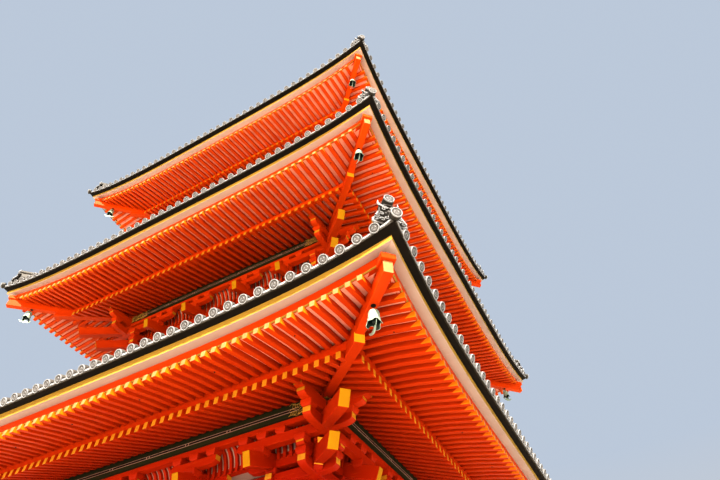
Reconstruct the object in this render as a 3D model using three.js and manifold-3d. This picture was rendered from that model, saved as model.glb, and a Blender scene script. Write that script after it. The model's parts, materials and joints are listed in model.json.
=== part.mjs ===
// A three-storied timber pagoda with tiled roofs, on a square stone podium.
// Millimetres, +Z up, origin at the centre of the podium's underside.
import * as THREE from 'three';
import { mergeVertices } from 'three/addons/utils/BufferGeometryUtils.js';
import Module from 'manifold-3d';

const wasm = await Module();
wasm.setup();

// Roofs: half width and height of each board corner tip, and how far the middle of a side lies lower
const ROOF_HALF = [6000, 5730, 5470];
const TIP_Z = [6600, 11480, 16400];
const SIDE_SAG = [225, 200, 300];
const SAG_POWER = 4.3;
const SIDE_BOW = 110;
const BOW_POWER = 3.5;

// Body: the column line stands this far inside each roof corner, per axis
const OVERHANG = 3630;
const INNER_COLUMN_RATIO = 0.385;
const COLUMN_RADIUS = [180, 160, 150];
const WALL_THICKNESS = 110;
const WALL_END_SHARE = 0.8;
const WALL_BEAM = 140;
const SILL_HEIGHT = 160;
const HEAD_HEIGHT = 200;
const RAIL_BEAM_HALF = 75;
const DAIS_PLATE_HALF = 210;

// Doorways and windows
const DOOR_MARGIN = 60;
const DOOR_HEIGHT = 2250;
const DOOR_FRAME_HALF = 75;
const DOOR_JAMB = 90;
const DOOR_LEAF_FRONT = 30;
const DOOR_LEAF_BACK = 20;
const DOOR_SEAM_HALF = 5;
const UPPER_DOOR_DEPTH = 15;
const UPPER_DOOR_LOW = 60;
const UPPER_DOOR_HIGH = 140;
const WINDOW_MARGIN = 70;
const WINDOW_LOW_SHARE = 0.42;
const WINDOW_HIGH_SHARE = 0.16;
const WINDOW_HIGH_MAX = 420;
const CUT_REACH = 200;

// Podium, steps and ground floor
const PODIUM_HALF = 4000;
const PODIUM_HEIGHT = 1000;
const PODIUM_COPING = 160;
const PODIUM_COPING_LIP = 90;
const STEP_COUNT = 5;
const STEP_TREAD = 300;
const STEP_WIDTH = 1900;
const FLOOR_THICKNESS = 120;
const FLOOR_INSET = 100;

// Heights below the corner tip of the same storey
const COLUMN_TOP = -1870;
const DAIS_PLATE = 100;
const FIRST_ARM_TOP = -1410;
const SECOND_ARM_TOP = -1110;
const ARM_HEIGHT = 180;
const BLOCK_WIDTH = 210;
const STEP_OUT = 410;
const BRACKET_BACK = -60;

// Eave boards, fascias and rafters' upper planes, measured from the corner tip
const EDGE_DEPTH = 85;
const LOW_SAG_SHARE = 1.19;
const BOARD_INSET = 175;
const BOARD_DROP = 57;
const FLYING_TOP = -220;
const MIDDLE_INSET = 1280;
const MIDDLE_SAG_SHARE = 0.21;
const MIDDLE_UPPER = -207;
const MIDDLE_LOWER = -437;
const PURLIN_BOARD = -70;
const BASE_SLOPE = 0.3;
const EAVE_THICKNESS = 120;
const EAVE_INNER_EXTRA = 200;

// Eave purlin
const PURLIN_INSET = 2440;
const PURLIN_TOP = -200;
const PURLIN_BOTTOM = -468;
const PURLIN_WIDTH = 160;

// Tail rafters: long levers that slope down and out through the brackets
const TAIL_SLOPE = 0.35;
const TAIL_WIDTH = 135;
const TAIL_DEPTH = 240;
const TAIL_REACH = 1560;
const TAIL_END_Z = -1150;
const CORNER_TAIL_WIDTH = 165;
const CORNER_TAILS = [
  { reach: 2040, endZ: -985 },
  { reach: 1640, endZ: -1320 },
];

// Corner rafters, bells and their hooks
const FLYING_END_INSET = 140;
const FLYING_END_BOTTOM = -505;
const FLYING_END_TOP = -40;
const FLYING_WIDTH = 135;
const FLYING_LAP = 120;
const BASE_END_INSET = 1030;
const BASE_END_BOTTOM = -617;
const BASE_END_TOP = -417;
const BASE_WIDTH = 160;
const BELL_HOOK_ROOT = 60;
const BELL_INSET = 590;
const BELL_PIVOT_Z = -548;
const BELL_HEIGHT = 235;
const BELL_MOUTH_RADIUS = 114;
const BELL_SHELL = 9;
const BELL_TOP = -38;
const BELL_SHOULDER_DROP = 12;
const BELL_WAIST_DROP = 165;
const BELL_SHOULDER_SHARE = 0.6;
const BELL_WAIST_SHARE = 0.76;
const BELL_ARCH_RADIUS = 52;
const BELL_ARCH_SIDES = 6;
const EYE_HALF = 18;
const EYE_THICKNESS = 12;
const EYE_HOLE_SIDES = 6;
const CLAPPER_ROD = 6;
const CLAPPER_RADIUS = 28;
const CLAPPER_LOW = 30;
const CLAPPER_HIGH = 72;
const CLAPPER_ROD_END = 12;
const VANE_THICKNESS = 6;
const VANE_OUTLINE = [
  [-12, 0],
  [12, 0],
  [14, -52],
  [75, -64],
  [150, -30],
  [118, -92],
  [50, -120],
  [-50, -120],
  [-118, -92],
  [-150, -30],
  [-75, -64],
  [-14, -52],
];
const PIN_RADIUS = 6;
const PIN_CLEARANCE = 2;
const LUG_GAP = 34;
const LUG_THICKNESS = 10;
const LUG_LOW_HALF = 14;
const LUG_HIGH_HALF = 18;

// Tile roofs
const TILE_LIP = 150;
const TILE_UNDER = 70;
const TILE_TOP = 150;
const ROOF_TOP_Z = [8100, 13060, 20050];
const ROOF_CURB = 150;
const TOP_ROOF_HALF = 420;
const TOP_CLOSURE_LAP = 10;
const TOP_CLOSURE_LIFT = 40;
const ROOF_HOLLOW = 0.32;
const HIP_WIDTH = 230;
const HIP_HEIGHTS = [540, 370, 330, 300];
const HIP_FOOT = 60;
const HIP_END_INSET = 160;
const HIP_SHARES = [0, 0.33, 0.66, 0.97];
const SLOPE_FADE = 1.6;

// Carved end tile across each hip's lower end, with a round tile over it
const END_TILE_OUTLINE = [
  [-160, 0],
  [160, 0],
  [240, 40],
  [150, 350],
  [150, 520],
  [60, 500],
  [-60, 500],
  [-150, 520],
  [-150, 350],
  [-240, 40],
];
const END_TILE_THICKNESS = 90;
const END_TILE_INSET = 20;
const END_TILE_FOOT = 190;
const ROUND_TILE_RADIUS = 78;
const ROUND_TILE_HEIGHT = 747;
const ROUND_TILE_OUT = 47;
const ROUND_TILE_LENGTH = 700;

// Upper floors: the balcony, its railing and the wall above it
const BALCONY_TOP_Z = [0, 8520, 13440];
const BALCONY_HALF_EXTRA = 780;
const BALCONY_THICKNESS = 110;
const SKIRT_EXTRA = 170;
const BALCONY_INNER = 200;
const RAIL_INSET = 110;
const RAIL_BARS = [
  { low: 0, high: 70, half: 45 },
  { low: 550, high: 620, half: 42 },
];
const CORNER_POST = { width: 112, top: 750 };
const MIDDLE_POST = { width: 64, top: 600, share: 0.33 };

// Finial of cast bronze on the top roof
const BASIN_SIZE = 900;
const BASIN_HEIGHT = 420;
const BASIN_RIM = 50;
const BASIN_RIM_HEIGHT = 70;
const BOWL_PROFILE = [
  [0, -10],
  [360, -10],
  [350, 150],
  [250, 300],
  [110, 350],
  [110, 400],
  [330, 560],
  [300, 590],
  [0, 590],
];
const BOWL_SIDES = 16;
const BOWL_TOP = 590;
const RING_COUNT = 9;
const RING_PITCH = 560;
const RING_OUTER = [470, 320];
const RING_HEIGHT = 130;
const RING_WALL = 36;
const RING_START = 200;
const SPOKE_HALF = 22;
const SPOKE_LOW_SHARE = 0.3;
const SPOKE_HIGH_SHARE = 0.7;
const SHAFT_RADIUS = 70;
const SHAFT_EXTRA = 250;
const STEM_RADIUS = 45;
const STEM_HEIGHT = 1750;
const FLAME_THICKNESS = 24;
const FLAME_START = [30, 60];
const FLAME_CURVES = [
  [420, 120, 400, 430],
  [390, 640, 250, 760],
  [280, 900, 170, 1080],
  [150, 960, 30, 900],
];
const FLAME_HOLE = { x: 185, z: 400, wide: 95, high: 170 };
const JEWEL_HEIGHTS = [1280, 1680];
const JEWEL_PROFILE = [
  [0, -130],
  [90, -100],
  [140, 0],
  [95, 95],
  [0, 150],
];

// Small distances
const JOINT_GAP = 0.3;
const RING_STEPS = [-1, -0.92, -0.75, -0.45, 0, 0.45, 0.75, 0.92];
const COLUMN_SIDES = 8;
const BELL_SIDES = 8;
const FINIAL_SIDES = 10;
const SMALL_SIDES = 8;

const COLORS = {
  vermilion: 0xe0480f,
  plaster: 0xe8dccb,
  purlin: 0x2e3a22,
  tile: 0x8b8883,
  stone: 0xb4aea2,
  door: 0xb43a12,
  bronze: 0x6f8f80,
  bell: 0xd3e4dc,
  floor: 0x9a6a3f,
};

const materials = Object.fromEntries(
  Object.entries(COLORS).map(([name, color]) => [
    name,
    new THREE.MeshStandardMaterial({
      color,
      roughness: name === 'bronze' || name === 'bell' ? 0.45 : 0.8,
      metalness: name === 'bronze' ? 0.8 : 0.0,
    }),
  ]),
);

const columnHalf = (storey) => ROOF_HALF[storey] - OVERHANG;
const innerColumn = (storey) => columnHalf(storey) * INNER_COLUMN_RATIO;
const purlinHalf = (storey) => ROOF_HALF[storey] - PURLIN_INSET;
const level = (storey, height) => TIP_Z[storey] + height;
const wallLow = (storey) => baseZ(storey) + SILL_HEIGHT;
const wallHigh = (storey) => level(storey, COLUMN_TOP - DAIS_PLATE - HEAD_HEIGHT);
const doorHalf = (storey) => innerColumn(storey) - COLUMN_RADIUS[storey] - DOOR_MARGIN;
const doorHigh = (storey) => wallLow(storey) + DOOR_HEIGHT;
const roofInner = (storey) =>
  storey < 2 ? columnHalf(storey + 1) + SKIRT_EXTRA + JOINT_GAP : TOP_ROOF_HALF - ROOF_CURB;
const roofTopHalf = (storey) => roofInner(storey) + ROOF_CURB;
const baseZ = (storey) => (storey === 0 ? PODIUM_HEIGHT : BALCONY_TOP_Z[storey]);

// Solid from a closed three.js geometry
function solid(geometry) {
  const bare = geometry.index ? geometry.toNonIndexed() : geometry.clone();
  bare.deleteAttribute('normal');
  bare.deleteAttribute('uv');
  const merged = mergeVertices(bare, 1e-3);
  return new wasm.Manifold(
    new wasm.Mesh({
      numProp: 3,
      vertProperties: new Float32Array(merged.attributes.position.array),
      triVerts: new Uint32Array(merged.index.array),
    }),
  );
}

function union(solids) {
  return solids.reduce((sum, next) => sum.add(next));
}

function subtract(whole, cutters) {
  return cutters.reduce((rest, cutter) => rest.subtract(cutter), whole);
}

// Axis-aligned box from its low and high corners
function box(low, high) {
  const size = high.map((value, axis) => value - low[axis]);
  const geometry = new THREE.BoxGeometry(...size);
  geometry.translate(...low.map((value, axis) => value + size[axis] / 2));
  return solid(geometry);
}

function cylinder(radius, low, high, x, y, sides = COLUMN_SIDES, topRadius = radius) {
  const geometry = new THREE.CylinderGeometry(topRadius, radius, high - low, sides);
  geometry.rotateX(Math.PI / 2);
  geometry.translate(x, y, (low + high) / 2);
  return solid(geometry);
}

function lathe(profile, sides, z = 0) {
  const geometry = new THREE.LatheGeometry(profile.map(([r, h]) => new THREE.Vector2(r, h)), sides);
  geometry.rotateX(Math.PI / 2);
  geometry.translate(0, 0, z);
  return solid(geometry);
}

// Extruded outline in the x-z plane, centred on y = 0
function plate(outline, thickness) {
  const shape = new THREE.Shape(outline.map(([x, z]) => new THREE.Vector2(x, z)));
  const geometry = new THREE.ExtrudeGeometry(shape, { depth: thickness, bevelEnabled: false });
  geometry.translate(0, 0, -thickness / 2);
  geometry.rotateX(Math.PI / 2);
  return solid(geometry);
}

// The same solid turned to each of the four sides: front, right, back, left
function quarterTurns(part) {
  return [0, 90, 180, 270].map((angle) => part.rotate([0, 0, angle]));
}

function toMesh(name, shape, material) {
  const { vertProperties, triVerts } = shape.getMesh();
  const geometry = new THREE.BufferGeometry();
  geometry.setAttribute('position', new THREE.BufferAttribute(new Float32Array(vertProperties), 3));
  geometry.setIndex(new THREE.BufferAttribute(new Uint32Array(triVerts), 1));
  geometry.computeVertexNormals();
  const mesh = new THREE.Mesh(geometry, material);
  mesh.name = name;
  return mesh;
}

// Ring round the square plan: each section point has a half width, a height, and its share of the
// sag and bow that make the sides dip and draw in between the corners. Every face is split from its
// outer point to its inner one, so two rings with a common line lie on each other.
function squareRing(section, sag, bow, steps = RING_STEPS) {
  const stations = [];
  for (let side = 0; side < 4; side += 1) {
    const turn = new THREE.Matrix4().makeRotationZ((side * Math.PI) / 2);
    for (const t of steps) {
      const dip = sag * (1 - Math.abs(t) ** SAG_POWER);
      const draw = bow * (1 - Math.abs(t) ** BOW_POWER);
      stations.push(
        section.map(({ half, z, sagShare = 0, bowShare = 0 }) =>
          new THREE.Vector3(half * t, -(half - draw * bowShare), z - dip * sagShare).applyMatrix4(turn),
        ),
      );
    }
  }
  const positions = stations.flat().flatMap((point) => [point.x, point.y, point.z]);
  const indices = [];
  const size = section.length;
  stations.forEach((_, station) => {
    const next = (station + 1) % stations.length;
    for (let point = 0; point < size; point += 1) {
      const other = (point + 1) % size;
      const a = station * size + point;
      const b = next * size + point;
      const c = next * size + other;
      const d = station * size + other;
      if (section[point].half > section[other].half) {
        indices.push(a, c, b, a, d, c);
      } else {
        indices.push(d, b, a, d, c, b);
      }
    }
  });
  const geometry = new THREE.BufferGeometry();
  geometry.setAttribute('position', new THREE.Float32BufferAttribute(positions, 3));
  geometry.setIndex(indices);
  return solid(geometry);
}

// Plain square tube standing on its edge
function squareTube(outer, inner, low, high) {
  return squareRing(
    [
      { half: outer, z: low },
      { half: inner, z: low },
      { half: inner, z: high },
      { half: outer, z: high },
    ],
    0,
    0,
    [-1],
  );
}

// Bar in the front-right corner's diagonal plane, from its outline of plan half width and height
function diagonalBar(outline, width) {
  const along = outline.map(([half, z]) => [half * Math.SQRT2, z]);
  return plate(along, width).rotate([0, 0, -45]);
}

function podium() {
  const lip = PODIUM_HALF + PODIUM_COPING_LIP;
  const copingLow = PODIUM_HEIGHT - PODIUM_COPING;
  const body = box([-PODIUM_HALF, -PODIUM_HALF, 0], [PODIUM_HALF, PODIUM_HALF, copingLow]);
  const coping = box([-lip, -lip, copingLow], [lip, lip, PODIUM_HEIGHT]);
  const foot = box([-lip, -lip, 0], [lip, lip, PODIUM_COPING]);
  return union([body, coping, foot]);
}

function steps() {
  const start = PODIUM_HALF + PODIUM_COPING_LIP + JOINT_GAP;
  const rise = PODIUM_HEIGHT / STEP_COUNT;
  const outline = [[start, 0]];
  for (let step = 0; step < STEP_COUNT; step += 1) {
    const out = start + (STEP_COUNT - step) * STEP_TREAD;
    outline.push([out, step * rise], [out, (step + 1) * rise]);
  }
  outline.push([start, PODIUM_HEIGHT]);
  return plate(outline, STEP_WIDTH).rotate([0, 0, -90]);
}

// Centres of the twelve columns of a storey
function columnPlaces(storey) {
  const outer = columnHalf(storey);
  const inner = innerColumn(storey);
  const front = [-outer, -inner, inner, outer].map((x) => [x, -outer]);
  const back = front.map(([x, y]) => [x, -y]);
  const sides = [-inner, inner].flatMap((y) => [[-outer, y], [outer, y]]);
  return [...front, ...back, ...sides];
}

function wallSlab(storey, gap = 0) {
  const half = columnHalf(storey);
  const end = half - COLUMN_RADIUS[storey] * WALL_END_SHARE;
  const thick = WALL_THICKNESS / 2 + gap;
  return box(
    [-end - gap, -half - thick, wallLow(storey) - gap],
    [end + gap, -half + thick, wallHigh(storey) + gap],
  );
}

// Doorway and the two windows of one side, as cutting boxes
function doorway(storey) {
  const half = columnHalf(storey);
  const side = doorHalf(storey);
  return box(
    [-side, -half - CUT_REACH, wallLow(storey) - 1],
    [side, -half + CUT_REACH, doorHigh(storey)],
  );
}

function windows(storey) {
  const half = columnHalf(storey);
  const middle = (half + innerColumn(storey)) / 2;
  const wide = (half - innerColumn(storey)) / 2 - COLUMN_RADIUS[storey] - WINDOW_MARGIN;
  const height = wallHigh(storey) - wallLow(storey);
  const low = wallLow(storey) + height * WINDOW_LOW_SHARE;
  const high = wallHigh(storey) - Math.min(height * WINDOW_HIGH_SHARE, WINDOW_HIGH_MAX);
  return [-middle, middle].map((x) =>
    box([x - wide, -half - CUT_REACH, low], [x + wide, -half + CUT_REACH, high]),
  );
}

function wallSide(storey) {
  return subtract(wallSlab(storey), [doorway(storey), ...windows(storey)]);
}

// Closed pair of plank leaves in their frame
function doorPanel(storey) {
  const half = columnHalf(storey);
  const side = doorHalf(storey) - JOINT_GAP;
  const low = wallLow(storey) + JOINT_GAP;
  const high = doorHigh(storey) - JOINT_GAP;
  const across = side - DOOR_JAMB;
  const bottom = low + DOOR_JAMB;
  const top = high - DOOR_JAMB;
  const jambs = box([-side, -half - DOOR_FRAME_HALF, low], [side, -half + DOOR_FRAME_HALF, high]);
  const recess = box([-across, -half - CUT_REACH, bottom], [across, -half - DOOR_LEAF_FRONT, top]);
  const inside = box([-across, -half + DOOR_LEAF_BACK, bottom], [across, -half + CUT_REACH, top]);
  const seam = box(
    [-DOOR_SEAM_HALF, -half - CUT_REACH, bottom],
    [DOOR_SEAM_HALF, -half - DOOR_LEAF_FRONT / 2, top],
  );
  return subtract(jambs, [recess, inside, seam]);
}

// Wall ring of an upper storey, with its closed doors as recesses and its windows cut through
function wallRing(storey, gap = 0) {
  const half = columnHalf(storey);
  const thick = WALL_THICKNESS / 2 + gap;
  return squareTube(half + thick, half - thick, wallLow(storey) - gap, wallHigh(storey) + gap);
}

function upperWalls(storey) {
  const half = columnHalf(storey);
  const recess = box(
    [-doorHalf(storey), -half - CUT_REACH, wallLow(storey) + UPPER_DOOR_LOW],
    [doorHalf(storey), -half - UPPER_DOOR_DEPTH, wallHigh(storey) - UPPER_DOOR_HIGH],
  );
  const holes = windows(storey).flatMap((hole) => quarterTurns(hole));
  return subtract(wallRing(storey), [...quarterTurns(recess), ...holes]);
}

// Columns with sill beams, head beams and the flat plate that carries the brackets
function frame(storey) {
  const half = columnHalf(storey);
  const radius = COLUMN_RADIUS[storey];
  const low = baseZ(storey);
  const top = level(storey, COLUMN_TOP);
  const columns = columnPlaces(storey).map(([x, y]) => cylinder(radius, low, top - DAIS_PLATE, x, y));
  const outer = half + RAIL_BEAM_HALF;
  const inner = half - RAIL_BEAM_HALF;
  const sill = squareTube(outer, inner, low, wallLow(storey) - JOINT_GAP);
  const head = squareTube(outer, inner, wallHigh(storey) + JOINT_GAP, top - DAIS_PLATE);
  const plateRing = squareTube(half + DAIS_PLATE_HALF, half - DAIS_PLATE_HALF, top - DAIS_PLATE, top);
  return union([...columns, sill, head, plateRing]);
}

// The frame grooved for its walls
function groundFrame() {
  return subtract(frame(0), quarterTurns(wallSlab(0, JOINT_GAP)));
}

function upperFrame(storey) {
  return frame(storey).subtract(wallRing(storey, JOINT_GAP));
}

// The two end corners of a tail rafter, square cut, and its upper and lower lines at a given reach
function tailLines(outer, endZ, slope) {
  const tilt = Math.atan(slope);
  const across = TAIL_DEPTH / 2;
  const out = across * Math.sin(tilt);
  const up = across * Math.cos(tilt);
  const vertical = across / Math.cos(tilt);
  const line = (offset) => (reach) => endZ + (outer - reach) * slope + offset;
  return {
    lowEnd: [outer - out, endZ - up],
    highEnd: [outer + out, endZ + up],
    lower: line(-vertical),
    upper: line(vertical),
  };
}

// Bracket arms, blocks and tail rafter over one column of the front side, in one upright profile
function bracketSet(storey, x) {
  const tail = tailLines(TAIL_REACH, TAIL_END_Z, TAIL_SLOPE);
  const first = STEP_OUT + BLOCK_WIDTH / 2;
  const second = first + STEP_OUT;
  const purlinReach = OVERHANG - PURLIN_INSET;
  const blockIn = purlinReach - BLOCK_WIDTH / 2;
  const blockOut = purlinReach + BLOCK_WIDTH / 2;
  const outline = [
    [BRACKET_BACK, COLUMN_TOP],
    [BLOCK_WIDTH, COLUMN_TOP],
    [BLOCK_WIDTH, FIRST_ARM_TOP - ARM_HEIGHT],
    [first, FIRST_ARM_TOP - ARM_HEIGHT],
    [first, SECOND_ARM_TOP - ARM_HEIGHT],
    [second, SECOND_ARM_TOP - ARM_HEIGHT],
    [second, tail.lower(second)],
    tail.lowEnd,
    tail.highEnd,
    [blockOut, tail.upper(blockOut)],
    [blockOut, PURLIN_BOTTOM],
    [blockIn, PURLIN_BOTTOM],
    [blockIn, tail.upper(blockIn)],
    [BRACKET_BACK, tail.upper(BRACKET_BACK)],
  ];
  const half = columnHalf(storey);
  return plate(outline, TAIL_WIDTH).rotate([0, 0, -90]).translate([x, -half, TIP_Z[storey]]);
}

// Diagonal arms and the two stacked tail rafters of the front-right corner
function cornerSet(storey) {
  const [upperTail, lowerTail] = CORNER_TAILS.map(({ reach, endZ }) =>
    tailLines(reach, endZ, TAIL_SLOPE),
  );
  const first = STEP_OUT + BLOCK_WIDTH / 3;
  const second = first + STEP_OUT;
  const purlinReach = OVERHANG - PURLIN_INSET;
  const postOut = purlinReach + BLOCK_WIDTH / 3;
  const postIn = purlinReach - BLOCK_WIDTH / 3;
  const outline = [
    [BRACKET_BACK, COLUMN_TOP],
    [BLOCK_WIDTH, COLUMN_TOP],
    [BLOCK_WIDTH, FIRST_ARM_TOP - ARM_HEIGHT],
    [first, FIRST_ARM_TOP - ARM_HEIGHT],
    [first, SECOND_ARM_TOP - ARM_HEIGHT],
    [second, SECOND_ARM_TOP - ARM_HEIGHT],
    [second, lowerTail.lower(second)],
    lowerTail.lowEnd,
    lowerTail.highEnd,
    [postOut, lowerTail.upper(postOut)],
    [postOut, upperTail.lower(postOut)],
    upperTail.lowEnd,
    upperTail.highEnd,
    [postOut, upperTail.upper(postOut)],
    [postOut, PURLIN_BOTTOM],
    [postIn, PURLIN_BOTTOM],
    [postIn, upperTail.upper(postIn)],
    [BRACKET_BACK, upperTail.upper(BRACKET_BACK)],
  ];
  const half = columnHalf(storey);
  return diagonalBar(outline, CORNER_TAIL_WIDTH).translate([half, -half, TIP_Z[storey]]);
}

function brackets(storey) {
  const half = columnHalf(storey);
  const outer = half + WALL_BEAM / 2;
  const boards = PURLIN_BOARD + BASE_SLOPE * (purlinHalf(storey) - outer) - JOINT_GAP;
  const beams = squareTube(
    outer,
    half - WALL_BEAM / 2,
    level(storey, COLUMN_TOP),
    level(storey, boards),
  );
  const inner = innerColumn(storey);
  const sets = [-half, -inner, inner, half].flatMap((x) => quarterTurns(bracketSet(storey, x)));
  return union([beams, ...sets, ...quarterTurns(cornerSet(storey))]);
}

function purlin(storey) {
  const half = purlinHalf(storey);
  return squareTube(
    half + PURLIN_WIDTH / 2,
    half - PURLIN_WIDTH / 2,
    level(storey, PURLIN_BOTTOM) + JOINT_GAP,
    level(storey, PURLIN_TOP),
  );
}

const eaveInner = (storey) => columnHalf(Math.min(storey + 1, 2)) - EAVE_INNER_EXTRA;

function eaveRing(storey) {
  const half = ROOF_HALF[storey];
  const z = (height) => level(storey, height);
  const inner = eaveInner(storey);
  const innerZ = PURLIN_BOARD + BASE_SLOPE * (purlinHalf(storey) - inner);
  const edge = { sagShare: 1, bowShare: 1 };
  const low = { sagShare: LOW_SAG_SHARE, bowShare: 1 };
  const middle = { sagShare: MIDDLE_SAG_SHARE, bowShare: 0 };
  return squareRing(
    [
      { half, z: z(0), ...edge },
      { half, z: z(-EDGE_DEPTH), ...low },
      { half: half - BOARD_INSET, z: z(-BOARD_DROP), ...low },
      { half: half - BOARD_INSET, z: z(FLYING_TOP), ...low },
      { half: half - MIDDLE_INSET, z: z(MIDDLE_UPPER), ...middle },
      { half: half - MIDDLE_INSET, z: z(MIDDLE_LOWER), ...middle },
      { half: purlinHalf(storey), z: z(PURLIN_BOARD) },
      { half: inner, z: z(innerZ) },
      { half: inner, z: z(innerZ + EAVE_THICKNESS) },
      { half: purlinHalf(storey), z: z(PURLIN_BOARD + EAVE_THICKNESS) },
      { half: half - MIDDLE_INSET, z: z(MIDDLE_UPPER + EAVE_THICKNESS), ...middle },
    ],
    SIDE_SAG[storey],
    SIDE_BOW,
  );
}

// Flying and base corner rafters under the front-right corner
function cornerRafters(storey) {
  const half = ROOF_HALF[storey];
  const z = (height) => level(storey, height);
  const flyingInner = half - MIDDLE_INSET - FLYING_LAP;
  const flying = diagonalBar(
    [
      [half - FLYING_END_INSET, z(FLYING_END_BOTTOM)],
      [half - FLYING_END_INSET, z(FLYING_END_TOP)],
      [flyingInner, z(MIDDLE_UPPER + EAVE_THICKNESS / 3)],
      [flyingInner, z(MIDDLE_LOWER)],
    ],
    FLYING_WIDTH,
  );
  const seat = purlinHalf(storey) + PURLIN_WIDTH / 2;
  const inner = purlinHalf(storey) - PURLIN_WIDTH * 1.5;
  const base = diagonalBar(
    [
      [half - BASE_END_INSET, z(BASE_END_BOTTOM)],
      [half - BASE_END_INSET, z(BASE_END_TOP)],
      [inner, z(PURLIN_BOARD + BASE_WIDTH / 2)],
      [inner, z(PURLIN_TOP) + JOINT_GAP],
      [seat, z(PURLIN_TOP) + JOINT_GAP],
    ],
    BASE_WIDTH,
  );
  return [flying, base];
}

// Two lugs and a pin under the corner rafter, on which the bell's eye swings
function bellHook(storey) {
  const top = FLYING_END_BOTTOM + BELL_HOOK_ROOT;
  const pinLength = LUG_GAP + 2 * LUG_THICKNESS;
  const pin = new THREE.CylinderGeometry(PIN_RADIUS, PIN_RADIUS, pinLength, SMALL_SIDES);
  const lugs = [-1, 1].map((side) => {
    const centre = (side * (LUG_GAP + LUG_THICKNESS)) / 2;
    const outline = [
      [-LUG_LOW_HALF, -LUG_LOW_HALF],
      [LUG_LOW_HALF, -LUG_LOW_HALF],
      [LUG_HIGH_HALF, top - BELL_PIVOT_Z],
      [-LUG_HIGH_HALF, top - BELL_PIVOT_Z],
    ];
    return plate(outline, LUG_THICKNESS).translate([0, centre, 0]);
  });
  return placeAtBell(union([...lugs, solid(pin)]), storey);
}

// From a frame with x outward along the corner's diagonal to the bell's pivot of the front-right corner
function placeAtBell(part, storey) {
  const place = ROOF_HALF[storey] - BELL_INSET;
  return part.rotate([0, 0, -45]).translate([place, -place, level(storey, BELL_PIVOT_Z)]);
}

function eaves(storey) {
  const corner = [...cornerRafters(storey), bellHook(storey)];
  return union([eaveRing(storey), ...corner.flatMap((part) => quarterTurns(part))]);
}

// Bar across the bell's mouth that cuts an arch on two sides, so that four lobes stay between the arches
function bellArch(mouth) {
  const length = BELL_MOUTH_RADIUS * 2.2;
  const arch = cylinder(BELL_ARCH_RADIUS, -length / 2, length / 2, 0, 0, BELL_ARCH_SIDES);
  return arch.rotate([0, 90, 0]).translate([0, 0, mouth]);
}

// Wind bell with its eye at the origin, its clapper and the broad vane below
function bell() {
  const shoulder = BELL_TOP - BELL_SHOULDER_DROP;
  const waist = BELL_TOP - BELL_WAIST_DROP;
  const mouth = BELL_TOP - BELL_HEIGHT;
  const radius = BELL_MOUTH_RADIUS;
  const outer = [
    [0, BELL_TOP],
    [radius * BELL_SHOULDER_SHARE, shoulder],
    [radius * BELL_WAIST_SHARE, waist],
    [radius, mouth],
  ];
  const inner = [
    [radius - BELL_SHELL, mouth],
    [radius * BELL_WAIST_SHARE - BELL_SHELL, waist],
    [radius * BELL_SHOULDER_SHARE - BELL_SHELL, shoulder - BELL_SHELL],
    [0, BELL_TOP - BELL_SHELL],
  ];
  const round = lathe([...outer, ...inner].reverse(), BELL_SIDES);
  const shell = subtract(round, [0, 90].map((angle) => bellArch(mouth).rotate([0, 0, angle])));
  const hole = PIN_RADIUS + PIN_CLEARANCE;
  const eyeSide = EYE_THICKNESS / 2;
  const eyeBody = box([-EYE_HALF, -eyeSide, shoulder], [EYE_HALF, eyeSide, EYE_HALF]);
  const eyeHole = new THREE.CylinderGeometry(hole, hole, EYE_THICKNESS * 2, EYE_HOLE_SIDES);
  const eye = eyeBody.subtract(solid(eyeHole));
  const rod = cylinder(CLAPPER_ROD, mouth - CLAPPER_ROD_END, BELL_TOP - BELL_SHELL / 2, 0, 0, 4);
  const clapper = cylinder(CLAPPER_RADIUS, mouth + CLAPPER_LOW, mouth + CLAPPER_HIGH, 0, 0, SMALL_SIDES);
  const vane = plate(VANE_OUTLINE, VANE_THICKNESS).translate([0, 0, mouth]);
  return union([shell, eye, rod, clapper, vane]);
}

// Height of the tiles over the corner line, from the lip at 0 to the top at 1
function slopeZ(storey, share) {
  const start = level(storey, TILE_TOP);
  const climbed = share * (1 - ROOF_HOLLOW) + share ** 2 * ROOF_HOLLOW;
  return start + (ROOF_TOP_Z[storey] - start) * climbed;
}

// Tiled roof from its lip down on the eave boards up to the storey above
function roofBody(storey) {
  const half = ROOF_HALF[storey];
  const z = (height) => level(storey, height);
  const topHalf = roofTopHalf(storey);
  const lip = { sagShare: 1, bowShare: 1 };
  const middle = { sagShare: MIDDLE_SAG_SHARE, bowShare: 0 };
  const inner = roofInner(storey);
  const slopePoint = (share) => ({
    half: half + TILE_LIP + (topHalf - half - TILE_LIP) * share,
    z: slopeZ(storey, share),
    sagShare: (1 - share) ** SLOPE_FADE,
    bowShare: 1 - share,
  });
  const gap = JOINT_GAP;
  const under = [
    { half: half + TILE_LIP, z: z(TILE_UNDER), ...lip },
    { half, z: z(0) + gap, ...lip },
    { half: half - MIDDLE_INSET, z: z(MIDDLE_UPPER + EAVE_THICKNESS) + gap, ...middle },
    { half: purlinHalf(storey), z: z(PURLIN_BOARD + EAVE_THICKNESS) + gap },
  ];
  const innerLow = PURLIN_BOARD + EAVE_THICKNESS + BASE_SLOPE * (purlinHalf(storey) - inner);
  const slope = [1, 0.66, 0.33, 0].map(slopePoint);
  return { under, slope, inner, innerLow: z(innerLow) + gap };
}

function hipRidge(storey) {
  const start = ROOF_HALF[storey] + TILE_LIP - HIP_END_INSET;
  const topHalf = roofTopHalf(storey);
  const place = (share) => start + (topHalf - start) * share;
  const top = HIP_SHARES.map((share, index) => [
    place(share),
    slopeZ(storey, share) + HIP_HEIGHTS[index],
  ]);
  const bottom = HIP_SHARES.map((share) => [place(share), slopeZ(storey, share) - HIP_FOOT]);
  return diagonalBar([...top, ...bottom.reverse()], HIP_WIDTH);
}

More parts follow.
